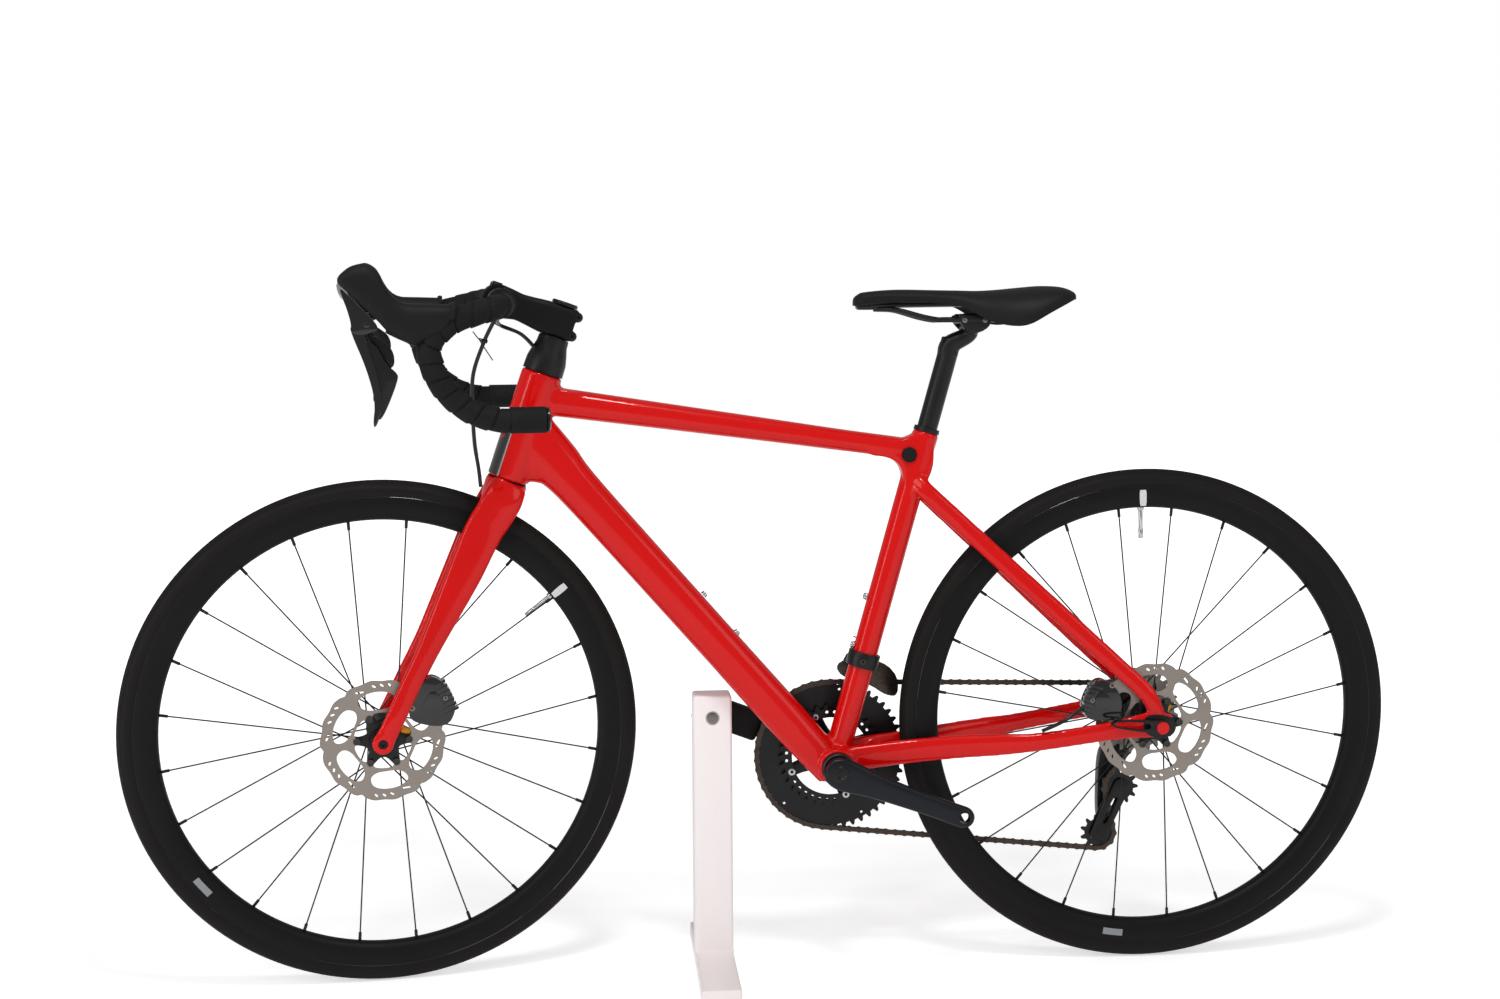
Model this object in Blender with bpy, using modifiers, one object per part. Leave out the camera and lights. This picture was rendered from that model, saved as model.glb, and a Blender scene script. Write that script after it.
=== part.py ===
"""Disc-brake road bicycle held upright by a crank stand.

Metres, +Z up.  The bicycle faces -X and its left side faces -Y.  The origin lies on the
ground at the centre of the stand's foot, on the bicycle's mid-plane.  Every sub-part is
one object; the pieces that steer hang from one empty on the steering axis and are
modelled straight ahead, and that empty then turns them to the parked angle.
"""
import math

import bmesh
import bpy
from mathutils import Matrix, Vector

# ---------------------------------------------------------------- driving dimensions
GAP = 0.0003                      # clearance between pieces that touch
WHEELBASE = 1.0212
TYRE_RADIUS = 0.335
TYRE_HALF_WIDTH = 0.0132
RIM_INNER_RADIUS = 0.283
RIM_HALF_WIDTH = 0.0135
SPOKES_PER_SIDE = 12
ROTOR_RADIUS = 0.080
ROTOR_THICKNESS = 0.0018

CRANK_LENGTH = 0.175
CRANK_ANGLE = math.radians(21.0)  # the right arm points forwards and this much upwards
BB_HEIGHT = 0.279
BB_X = CRANK_LENGTH * math.cos(CRANK_ANGLE)
BB_SHELL_RADIUS = 0.0245
BB_SHELL_HALF = 0.034
BB_CUP_HALF = 0.0445
SPINDLE_RADIUS = 0.0118

REAR_AXLE_X = 0.5861
FRONT_AXLE_X = REAR_AXLE_X - WHEELBASE
AXLE_Z = TYRE_RADIUS
AXLE_RADIUS = 0.006
FRONT_HUB_HALF = 0.050
REAR_HUB_HALF = 0.071
FRONT_ROTOR_Y = -0.0395
REAR_ROTOR_Y = -0.0557

HEAD_ANGLE = math.radians(71.0)
HEAD_BOTTOM = Vector((-0.267, 0.0, 0.666))
HEAD_LENGTH = 0.1475
HEAD_RADIUS = 0.0268
STEERER_RADIUS = 0.0143
STEER_AT_REST = 0.1203            # parked with the front wheel turned a little to the left

SEAT_SLOPE = 0.2788               # metres back per metre up along the seat tube
SEAT_TUBE_RADIUS = 0.017
SEAT_TUBE_TOP_Z = 0.7235
SEATPOST_RADIUS = 0.0136
SEATPOST_BOTTOM_Z = 0.500
SEATPOST_TOP_Z = 0.846

CHAIN_Y = 0.0465
CHAIN_HALF_WIDTH = 0.0027
CHAIN_HALF_HEIGHT = 0.0041
LINK_PITCH = 0.0127
OUTER_TEETH = 50
INNER_TEETH = 34
COG_TEETH = 17
PULLEY_TEETH = 11
COG_STEP = 0.00375
GUIDE_PULLEY = (0.5695, 0.224)
TENSION_PULLEY = (0.5385, 0.160)

BAR_HALF = 0.205
BAR_RADIUS = 0.0159
TAPE_RADIUS = 0.0150
STEM_HEIGHT_ALONG = 0.218         # up the steering axis from the head tube's lower end
STEM_REACH = 0.084

STAND_WIDTH = 0.052
STAND_FOOT_HEIGHT = 0.020
STAND_FOOT_HALF = 0.144
STAND_POST_NEAR = 0.006
STAND_POST_FAR = 0.050
STAND_POST_TOP = 0.372
PIN_RADIUS = 0.0065
PIN_END_Y = 0.0570
ARM_INNER_Y = 0.0605
ARM_OUTER_Y = 0.0735

STEER_UP = Vector((math.cos(HEAD_ANGLE), 0.0, math.sin(HEAD_ANGLE)))
STEER_FRONT = Vector((-math.sin(HEAD_ANGLE), 0.0, math.cos(HEAD_ANGLE)))
BB = Vector((BB_X, 0.0, BB_HEIGHT))
REAR_AXLE = Vector((REAR_AXLE_X, 0.0, AXLE_Z))
FRONT_AXLE = Vector((FRONT_AXLE_X, 0.0, AXLE_Z))

# name: (colour, roughness, metallic)
FINISHES = {
    "red_paint": ((0.62, 0.012, 0.010), 0.18, 0.0),
    "black_paint": ((0.012, 0.012, 0.013), 0.30, 0.0),
    "satin_black": ((0.020, 0.020, 0.022), 0.45, 0.3),
    "anthracite": ((0.030, 0.032, 0.038), 0.35, 0.6),
    "rubber": ((0.022, 0.019, 0.017), 0.85, 0.0),
    "tape": ((0.018, 0.018, 0.019), 0.70, 0.0),
    "steel": ((0.40, 0.37, 0.34), 0.35, 1.0),
    "chain_steel": ((0.12, 0.095, 0.075), 0.45, 1.0),
    "silver": ((0.60, 0.60, 0.62), 0.30, 1.0),
    "white_paint": ((0.80, 0.77, 0.76), 0.45, 0.0),
}


# ---------------------------------------------------------------- scene and materials
def clear_scene():
    for old in list(bpy.data.objects):
        bpy.data.objects.remove(old)


def collection(name):
    group = bpy.data.collections.new(name)
    bpy.context.scene.collection.children.link(group)
    return group


clear_scene()
PARTS = collection("bicycle_on_stand")
CUTTERS = collection("cutters")


def finish_material(part_name, finish):
    colour, roughness, metallic = FINISHES[finish]
    material = bpy.data.materials.new(part_name)
    material.use_nodes = True
    shader = material.node_tree.nodes["Principled BSDF"]
    shader.inputs["Base Color"].default_value = (*colour, 1.0)
    shader.inputs["Roughness"].default_value = roughness
    shader.inputs["Metallic"].default_value = metallic
    return material


def add_object(name, mesh, finish=None):
    """Link a mesh as a finished part, or as a hidden cutter when it has no finish."""
    part = bpy.data.objects.new(name, mesh)
    if finish is None:
        CUTTERS.objects.link(part)
        part.hide_render = True
        part.display_type = 'WIRE'
        return part
    PARTS.objects.link(part)
    mesh.materials.append(finish_material(name, finish))
    mesh.shade_smooth()
    mesh.set_sharp_from_angle(angle=math.radians(35))
    return part


def mesh_from(bm, name):
    bmesh.ops.recalc_face_normals(bm, faces=bm.faces)
    mesh = bpy.data.meshes.new(name)
    bm.to_mesh(mesh)
    bm.free()
    return mesh


# ---------------------------------------------------------------- shape helpers
def frame_along(direction, side=Vector((0, 1, 0))):
    """Rotation whose Z is the direction and whose Y is as near the side as it can be."""
    z = direction.normalized()
    if abs(z.dot(side)) > 0.999:
        side = Vector((1, 0, 0))
    x = side.cross(z).normalized()
    y = z.cross(x)
    return Matrix((x, y, z)).transposed().to_4x4()


def cylinder(name, start, end, radius, finish=None, sides=20):
    start, end = Vector(start), Vector(end)
    bm = bmesh.new()
    bmesh.ops.create_cone(bm, cap_ends=True, segments=sides, radius1=radius, radius2=radius,
                          depth=(end - start).length)
    part = add_object(name, mesh_from(bm, name), finish)
    part.matrix_world = Matrix.Translation((start + end) / 2) @ frame_along(end - start)
    return part


def block(name, centre, size, finish=None, tilt=0.0, bevel=0.0):
    """Box with its edges along X, Y and Z, then tilted about Y."""
    bm = bmesh.new()
    bmesh.ops.create_cube(bm, size=1.0)
    bmesh.ops.scale(bm, vec=size, verts=bm.verts)
    part = add_object(name, mesh_from(bm, name), finish)
    part.location = centre
    part.rotation_euler = (0.0, tilt, 0.0)
    if bevel:
        add_bevel(part, bevel)
    return part


def add_bevel(part, width, segments=2):
    bevel = part.modifiers.new("rounded edges", 'BEVEL')
    bevel.width = width
    bevel.segments = segments
    bevel.limit_method = 'ANGLE'
    bevel.angle_limit = math.radians(40)


def turned(name, profile, centre, finish=None, steps=20, closed=False):
    """Revolve (radius, y) points about the line through the centre parallel to Y."""
    points = list(profile)
    count = len(points)
    twice_area = sum(points[i][0] * points[(i + 1) % count][1]
                     - points[(i + 1) % count][0] * points[i][1] for i in range(count))
    if twice_area > 0:
        points.reverse()
    bm = bmesh.new()
    verts = [bm.verts.new((radius, 0.0, along)) for radius, along in points]
    for first, second in zip(verts, verts[1:]):
        bm.edges.new((first, second))
    if closed:
        bm.edges.new((verts[-1], verts[0]))
    mesh = bpy.data.meshes.new(name)
    bm.to_mesh(mesh)
    bm.free()
    part = add_object(name, mesh, finish)
    part.location = centre
    part.rotation_euler = (math.radians(-90), 0.0, 0.0)
    screw = part.modifiers.new("turned", 'SCREW')
    screw.steps = steps
    screw.render_steps = steps
    screw.use_merge_vertices = True
    screw.merge_threshold = 0.00005
    return part


def outline_mesh(name, loops, thickness):
    """Flat plate in local XY from closed loops of points, filled and extruded."""
    curve = bpy.data.curves.new(name, 'CURVE')
    curve.dimensions = '2D'
    curve.fill_mode = 'BOTH'
    curve.extrude = thickness / 2
    for points in loops:
        spline = curve.splines.new('POLY')
        spline.points.add(len(points) - 1)
        spline.use_cyclic_u = True
        for point, (x, y) in zip(spline.points, points):
            point.co = (x, y, 0.0, 1.0)
    return curve_to_mesh(curve, name)


def curve_to_mesh(curve, name):
    """Turn curve data into a welded, closed mesh."""
    guide = bpy.data.objects.new(name, curve)
    CUTTERS.objects.link(guide)
    depsgraph = bpy.context.evaluated_depsgraph_get()
    depsgraph.update()
    mesh = bpy.data.meshes.new_from_object(guide.evaluated_get(depsgraph))
    bpy.data.objects.remove(guide)
    bm = bmesh.new()
    bm.from_mesh(mesh)
    bpy.data.meshes.remove(mesh)
    bmesh.ops.remove_doubles(bm, verts=bm.verts, dist=0.00002)
    mesh = mesh_from(bm, name)
    mesh.materials.clear()
    return mesh


def plate(name, loops, y, thickness, finish=None, bevel=0.0):
    """Plate whose outline is drawn in X and Z and whose middle lies at y."""
    part = add_object(name, outline_mesh(name, loops, thickness), finish)
    part.location = (0.0, y, 0.0)
    part.rotation_euler = (math.radians(90), 0.0, 0.0)
    if bevel:
        add_bevel(part, bevel)
    return part


def smooth_path(points, steps):
    """Points along a smooth curve that passes through the given ones."""
    points = [Vector(p) for p in points]
    ends = [2 * points[0] - points[1], *points, 2 * points[-1] - points[-2]]
    path = []
    for before, start, end, after in zip(ends, ends[1:], ends[2:], ends[3:]):
        for step in range(steps):
            t = step / steps
            path.append(0.5 * (2 * start + (end - before) * t
                               + (2 * before - 5 * start + 4 * end - after) * t ** 2
                               + (3 * start - before - 3 * end + after) * t ** 3))
    return path + [points[-1]]


def tube_mesh(name, path, radius, radii=None):
    curve = bpy.data.curves.new(name, 'CURVE')
    curve.dimensions = '3D'
    curve.bevel_depth = radius
    curve.bevel_resolution = 2
    curve.use_fill_caps = True
    spline = curve.splines.new('POLY')
    spline.points.add(len(path) - 1)
    for i, point in enumerate(path):
        spline.points[i].co = (*point, 1.0)
        spline.points[i].radius = radii[i] if radii else 1.0
    return curve_to_mesh(curve, name)


def tube(name, path, radius, finish=None, radii=None):
    return add_object(name, tube_mesh(name, path, radius, radii), finish)


def ring_of_points(centre, tangent, half_depth, half_width, sides):
    """Oval section across the path: its width lies along Y, its depth across the path."""
    turn = frame_along(tangent)
    ring = []
    for i in range(sides):
        angle = math.tau * i / sides
        ring.append(centre + turn @ Vector((half_depth * math.cos(angle),
                                            half_width * math.sin(angle), 0.0)))
    return ring


def loft(name, stations, finish, sides=12):
    """Skin a tube through oval stations: (x, z, y, half depth, half width)."""
    centres = [Vector((x, y, z)) for x, z, y, _, _ in stations]
    bm = bmesh.new()
    rings = []
    for i, (_, _, _, half_depth, half_width) in enumerate(stations):
        tangent = centres[min(i + 1, len(centres) - 1)] - centres[max(i - 1, 0)]
        points = ring_of_points(centres[i], tangent, half_depth, half_width, sides)
        rings.append([bm.verts.new(p) for p in points])
    for lower, upper in zip(rings, rings[1:]):
        for i in range(sides):
            j = (i + 1) % sides
            bm.faces.new((lower[i], lower[j], upper[j], upper[i]))
    bm.faces.new(rings[0])
    bm.faces.new(rings[-1])
    return add_object(name, mesh_from(bm, name), finish)


def cut(part, *cutters):
    for cutter in cutters:
        hole = part.modifiers.new("cut " + cutter.name, 'BOOLEAN')
        hole.operation = 'DIFFERENCE'
        hole.object = cutter
    return part


def join(part, *pieces):
    """Weld further pieces, kept as hidden guides, onto a part."""
    for piece in pieces:
        weld = part.modifiers.new("weld " + piece.name, 'BOOLEAN')
        weld.operation = 'UNION'
        weld.object = piece
    return part


def arc(centre, radius, start_deg, end_deg, count):
    points = []
    for i in range(count + 1):
        angle = math.radians(start_deg + (end_deg - start_deg) * i / count)
        points.append((centre[0] + radius * math.cos(angle), centre[1] + radius * math.sin(angle)))
    return points


def circle(centre, radius, count):
    return arc(centre, radius, 0, 360 * (count - 1) / count, count - 1)


def on_steering_axis(up, front=0.0, lateral=0.0):
    """Point given by its height up the steering axis and its reach in front of it."""
    return HEAD_BOTTOM + STEER_UP * up + STEER_FRONT * front + Vector((0, lateral, 0))


def mirrored(points, side):
    return [(x, y * side, z) for x, y, z in points]


def pitch_radius(teeth):
    return LINK_PITCH / (2 * math.sin(math.pi / teeth))


# ---------------------------------------------------------------- frame
def seat_axis(z):
    return Vector((BB_X + (z - BB_HEIGHT) * SEAT_SLOPE, 0.0, z))


def build_frame():
    along_y = Vector((0, 1, 0))
    shell_cutter = cylinder("shell_clearance", BB - along_y * 0.2, BB + along_y * 0.2,
                            BB_SHELL_RADIUS + GAP, sides=24)
    head_cutter = cylinder("head_clearance", on_steering_axis(-0.05), on_steering_axis(0.20),
                           HEAD_RADIUS + GAP, sides=24)
    seat_cutter = cylinder("seat_clearance", seat_axis(0.20), seat_axis(0.80),
                           SEAT_TUBE_RADIUS + GAP, sides=24)
    post_bore = cylinder("seatpost_bore", seat_axis(0.20), seat_axis(0.80),
                         SEATPOST_RADIUS + GAP, sides=24)

    turned("bottom_bracket_shell", [
        (SPINDLE_RADIUS + GAP, -BB_CUP_HALF), (0.0215, -BB_CUP_HALF),
        (0.0215, -BB_SHELL_HALF), (BB_SHELL_RADIUS, -BB_SHELL_HALF),
        (BB_SHELL_RADIUS, BB_SHELL_HALF), (0.0215, BB_SHELL_HALF),
        (0.0215, BB_CUP_HALF), (SPINDLE_RADIUS + GAP, BB_CUP_HALF)],
        BB, "red_paint", closed=True)

    head = cylinder("head_tube", on_steering_axis(0), on_steering_axis(HEAD_LENGTH),
                    HEAD_RADIUS, "red_paint", sides=24)
    cut(head, cylinder("head_bore", on_steering_axis(-0.01), on_steering_axis(0.20), 0.0168))

    seat_tube = cylinder("seat_tube", seat_axis(BB_HEIGHT), seat_axis(SEAT_TUBE_TOP_Z),
                         SEAT_TUBE_RADIUS, "red_paint", sides=24)
    cut(seat_tube, post_bore, shell_cutter)

    top = loft("top_tube", [
        (-0.225, 0.7705, 0.0, 0.0195, 0.0190),
        (-0.190, 0.7655, 0.0, 0.0190, 0.0185),
        (0.0655, 0.7290, 0.0, 0.0155, 0.0165),
        (0.1715, 0.7135, 0.0, 0.0143, 0.0160),
        (0.235, 0.7045, 0.0, 0.0142, 0.0158),
        (0.272, 0.6990, 0.0, 0.0142, 0.0155)], "red_paint")
    cut(top, head_cutter, seat_cutter)

    down = loft("down_tube", [
        (-0.2390, 0.7270, 0.0, 0.0350, 0.0225),
        (-0.2025, 0.6861, 0.0, 0.0325, 0.0230),
        (-0.1632, 0.6408, 0.0, 0.0280, 0.0235),
        (-0.0056, 0.4598, 0.0, 0.0270, 0.0240),
        (0.0994, 0.3391, 0.0, 0.0270, 0.0255),
        (0.1566, 0.2734, 0.0, 0.0255, 0.0290)], "red_paint", sides=16)
    top_clearance = loft("top_tube_clearance", [
        (-0.260, 0.7755, 0.0, 0.0199, 0.0230),
        (-0.190, 0.7655, 0.0, 0.0196, 0.0230),
        (0.0655, 0.7290, 0.0, 0.0162, 0.0200)], None)
    cut(down, seat_cutter, head_cutter, shell_cutter, top_clearance)

    for side, label in ((-1, "left"), (1, "right")):
        build_stays(side, label, shell_cutter, seat_cutter)


def build_stays(side, label, shell_cutter, seat_cutter):
    axle_hole = cylinder(f"dropout_hole_{label}", REAR_AXLE,
                         REAR_AXLE + Vector((0, side * 0.2, 0)), AXLE_RADIUS + GAP)
    chainstay = loft(f"chainstay_{label}", [
        (0.1700, 0.2870, side * 0.0240, 0.0172, 0.0080),
        (0.2175, 0.2930, side * 0.0255, 0.0170, 0.0075),
        (0.2720, 0.2990, side * 0.0285, 0.0165, 0.0070),
        (0.3300, 0.3055, side * 0.0405, 0.0160, 0.0068),
        (0.3765, 0.3095, side * 0.0530, 0.0150, 0.0066),
        (0.4305, 0.3150, side * 0.0655, 0.0125, 0.0062),
        (0.5250, 0.3290, side * 0.0735, 0.0130, 0.0055),
        (0.5660, 0.3350, side * 0.0753, 0.0175, 0.0040),
        (0.6040, 0.3350, side * 0.0753, 0.0165, 0.0040)], "red_paint", sides=12)
    cut(chainstay, shell_cutter, axle_hole, seat_cutter)

    seatstay = loft(f"seatstay_{label}", [
        (0.2655, 0.6620, side * 0.0200, 0.0120, 0.0070),
        (0.3055, 0.6242, side * 0.0235, 0.0125, 0.0068),
        (0.3555, 0.5777, side * 0.0290, 0.0125, 0.0065),
        (0.4855, 0.4567, side * 0.0575, 0.0125, 0.0062),
        (0.5305, 0.4148, side * 0.0660, 0.0125, 0.0060),
        (0.5700, 0.3770, side * 0.0735, 0.0120, 0.0052),
        (0.5840, 0.3480, side * 0.0753, 0.0110, 0.0042)], "red_paint", sides=12)
    dropout_clearance = block(f"dropout_clearance_{label}", (0.585, side * 0.075, 0.3300),
                              (0.08, 0.03, 0.0470))
    cut(seatstay, seat_cutter, dropout_clearance)


# ---------------------------------------------------------------- fork and steering
def build_fork(front_rotor_gap):
    crown_drop = 0.028
    crown = loft_between_rings("fork_crown", [
        (-GAP, HEAD_RADIUS, HEAD_RADIUS),
        (-0.010, 0.0275, 0.0305),
        (-crown_drop, 0.0270, 0.0385)], "red_paint")
    join(crown, cylinder("steerer", on_steering_axis(-0.005), on_steering_axis(0.2395),
                         STEERER_RADIUS))
    pieces = [crown]
    axle_hole = cylinder("fork_axle_hole", FRONT_AXLE - Vector((0, 0.2, 0)),
                         FRONT_AXLE + Vector((0, 0.2, 0)), AXLE_RADIUS + GAP)
    crown_clearance = block("crown_clearance", on_steering_axis(0.05 - crown_drop - GAP),
                            (0.30, 0.20, 0.10), tilt=math.pi / 2 - HEAD_ANGLE)
    for side, label in ((-1, "left"), (1, "right")):
        blade = loft(f"fork_blade_{label}", [
            (-0.2740, 0.6450, side * 0.0280, 0.0262, 0.0098),
            (-0.2860, 0.6250, side * 0.0285, 0.0260, 0.0096),
            (-0.3023, 0.6000, side * 0.0305, 0.0252, 0.0092),
            (-0.3258, 0.5500, side * 0.0360, 0.0228, 0.0088),
            (-0.3510, 0.5000, side * 0.0412, 0.0185, 0.0084),
            (-0.3763, 0.4500, side * 0.0463, 0.0145, 0.0078),
            (-0.4022, 0.4000, side * 0.0508, 0.0135, 0.0070),
            (-0.4205, 0.3630, side * 0.0562, 0.0125, 0.0055),
            (-0.4430, 0.3230, side * 0.0565, 0.0120, 0.0055)], "red_paint", sides=12)
        cut(blade, axle_hole, crown_clearance)
        pieces.append(blade)

    pieces.append(turned_up("headset_cover", [
        (STEERER_RADIUS + GAP, HEAD_LENGTH + GAP), (0.0266, HEAD_LENGTH + GAP),
        (0.0262, 0.1640), (0.0205, 0.1860), (0.0200, 0.1945),
        (STEERER_RADIUS + GAP, 0.1945)], "anthracite"))
    pieces.append(cylinder("front_axle", FRONT_AXLE - Vector((0, 0.0655, 0)),
                           FRONT_AXLE + Vector((0, 0.0640, 0)), AXLE_RADIUS, "satin_black", sides=16))

    caliper = block("front_caliper", (-0.3645, FRONT_ROTOR_Y - 0.0015, 0.3840), (0.030, 0.020, 0.062),
                    "satin_black", tilt=math.radians(24), bevel=0.004)
    cut(caliper, front_rotor_gap)
    pieces.append(caliper)
    hose = [(-0.3150, -0.1200, 0.8700), (-0.3300, -0.0850, 0.8450), (-0.3250, -0.0600, 0.8050),
            (-0.3150, -0.0520, 0.7600), (-0.3110, -0.0480, 0.7200), (-0.3060, -0.0400, 0.6850),
            (-0.3035, -0.0340, 0.6620)]
    pieces.append(tube("front_brake_hose", smooth_path(hose, 3), 0.0025, "rubber"))
    return pieces


def loft_between_rings(name, levels, finish, sides=24):
    """Skin round-ended levels stacked along the steering axis: (height, half depth, half width)."""
    bm = bmesh.new()
    rings = []
    for up, half_depth, half_width in levels:
        points = ring_of_points(on_steering_axis(up), STEER_UP, half_depth, half_width, sides)
        rings.append([bm.verts.new(p) for p in points])
    for lower, upper in zip(rings, rings[1:]):
        for i in range(sides):
            j = (i + 1) % sides
            bm.faces.new((lower[i], lower[j], upper[j], upper[i]))
    bm.faces.new(rings[0])
    bm.faces.new(rings[-1])
    return add_object(name, mesh_from(bm, name), finish)


def turned_up(name, profile, finish):
    """Revolve (radius, height) points about the steering axis."""
    part = turned(name, profile, (0, 0, 0), finish, closed=True)
    part.matrix_world = Matrix.Translation(HEAD_BOTTOM) @ frame_along(STEER_UP)
    return part


def steer_to_plan(front, up):
    """Side-view X and Z of a point in front of and up the steering axis."""
    point = on_steering_axis(up, front)
    return point.x, point.z


def build_stem(bar_gap):
    steerer_gap = cylinder("stem_steerer_gap", on_steering_axis(0.15), on_steering_axis(0.26),
                           STEERER_RADIUS + GAP)
    profile = [(-0.0185, -0.0220), (0.0185, -0.0220), (0.055, -0.0170), (STEM_REACH - 0.012, -0.0200),
               (STEM_REACH - GAP, -0.0210), (STEM_REACH - GAP, 0.0210), (STEM_REACH - 0.012, 0.0200),
               (0.050, 0.0180), (0.0185, 0.0210), (-0.0185, 0.0210)]
    loops = [[steer_to_plan(front, STEM_HEIGHT_ALONG + up) for front, up in profile]]
    stem = plate("stem", loops, 0.0, 0.038, "black_paint", bevel=0.006)
    cut(stem, steerer_gap, bar_gap)
    cap_arc = [(STEM_REACH + GAP + x, y) for x, y in arc((0.0, 0.0), 0.0210, -90, 90, 10)]
    loops = [[steer_to_plan(front, STEM_HEIGHT_ALONG + up) for front, up in cap_arc]]
    faceplate = plate("stem_faceplate", loops, 0.0, 0.038, "black_paint")
    cut(faceplate, bar_gap)
    return [stem, faceplate]


def bar_side(side):
    """Centre line of one half of the bar, from the clamp out to the end of the drop."""
    clamp = on_steering_axis(STEM_HEIGHT_ALONG, STEM_REACH)
    return mirrored([
        (clamp.x, 0.045, clamp.z), (clamp.x, 0.090, clamp.z), (clamp.x - 0.002, 0.150, clamp.z - 0.002),
        (clamp.x - 0.012, 0.185, clamp.z - 0.004), (-0.3150, 0.2010, 0.8880),
        (-0.3450, BAR_HALF, 0.8770), (-0.3690, BAR_HALF, 0.8520), (-0.3655, BAR_HALF, 0.8220),
        (-0.3480, BAR_HALF, 0.7930), (-0.3200, BAR_HALF, 0.7710), (-0.2850, BAR_HALF, 0.7610),
        (-0.2320, BAR_HALF, 0.7610)], side)


def build_bar():
    left = smooth_path(bar_side(-1), 2)
    right = smooth_path(bar_side(1), 2)
    path = list(reversed(left)) + right
    radii = [1.0 if abs(p[1]) < 0.05 else TAPE_RADIUS / BAR_RADIUS for p in path]
    return path, radii


HOOD_OUTLINE = [
    (-0.4725, 0.9230), (-0.4700, 0.9350), (-0.4600, 0.9430), (-0.4400, 0.9470), (-0.4280, 0.9380),
    (-0.4140, 0.9120), (-0.3980, 0.9010), (-0.3650, 0.9000), (-0.3400, 0.8990), (-0.3400, 0.8830),
    (-0.3520, 0.8660), (-0.3870, 0.8490), (-0.4200, 0.8660)]
CARRIER_OUTLINE = [
    (-0.4745, 0.9195), (-0.4660, 0.9000), (-0.4600, 0.8800), (-0.4500, 0.8780), (-0.4575, 0.8970),
    (-0.4640, 0.9100)]
BLADE_OUTLINE = [
    (-0.4598, 0.8755), (-0.4598, 0.8680), (-0.4430, 0.8250), (-0.4330, 0.7860), (-0.4365, 0.7570),
    (-0.4280, 0.7620), (-0.4190, 0.7830), (-0.4120, 0.8120), (-0.4230, 0.8400), (-0.4380, 0.8640),
    (-0.4490, 0.8755)]
PADDLE_OUTLINE = [(-0.4430, 0.8660), (-0.4270, 0.8590), (-0.4110, 0.8460), (-0.4100, 0.8250),
                  (-0.4210, 0.8250)]
LEVER_WELL = [(-0.4620, 0.9090), (-0.4250, 0.8850), (-0.3940, 0.8740), (-0.3940, 0.8300),
              (-0.4500, 0.8300)]
HOOD_WIDTH = 0.038
WELL_WIDTH = 0.038
WELL_INBOARD = 0.006              # the well runs out through the hood's inner side


def build_controls(bar_gap):
    pieces = []
    for side, label in ((-1, "left"), (1, "right")):
        y = side * BAR_HALF
        hood = plate(f"hood_{label}", [HOOD_OUTLINE], y, HOOD_WIDTH, "tape", bevel=0.007)
        well = plate(f"lever_well_{label}", [LEVER_WELL], y - side * WELL_INBOARD, WELL_WIDTH)
        cut(hood, bar_gap, well)
        pieces.append(hood)
        pieces.append(plate(f"lever_carrier_{label}", [CARRIER_OUTLINE], y, 0.016, "silver"))
        pieces.append(plate(f"brake_blade_{label}", [BLADE_OUTLINE], y, 0.014, "satin_black", bevel=0.002))
        pieces.append(plate(f"shift_paddle_{label}", [PADDLE_OUTLINE], y - side * 0.0100, 0.003,
                            "satin_black"))
    return pieces


# ---------------------------------------------------------------- wheels
def wheel_star(flange_radius, flange_y, rim_y, turn):
    """Spokes of one flange: a flat star of arms, then leaned in towards the rim."""
    half = 0.0011
    inner = flange_radius - 0.0030
    tip = RIM_INNER_RADIUS - 0.0004
    outer_loop = []
    for i in range(SPOKES_PER_SIDE):
        angle = math.tau * i / SPOKES_PER_SIDE + turn
        along = Vector((math.cos(angle), math.sin(angle)))
        across = Vector((-along.y, along.x))
        for distance, offset in ((flange_radius, -half), (tip, -half), (tip, half), (flange_radius, half)):
            point = along * distance + across * offset
            outer_loop.append((point.x, point.y))
    inner_loop = circle((0, 0), inner, 24)
    mesh = outline_mesh("spokes", [outer_loop, inner_loop], 2 * half)
    for vertex in mesh.vertices:
        radius = math.hypot(vertex.co.x, vertex.co.y)
        lean = min(max((radius - flange_radius) / (tip - flange_radius), 0.0), 1.0)
        vertex.co.z += flange_y + (rim_y - flange_y) * lean
    return mesh


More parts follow.
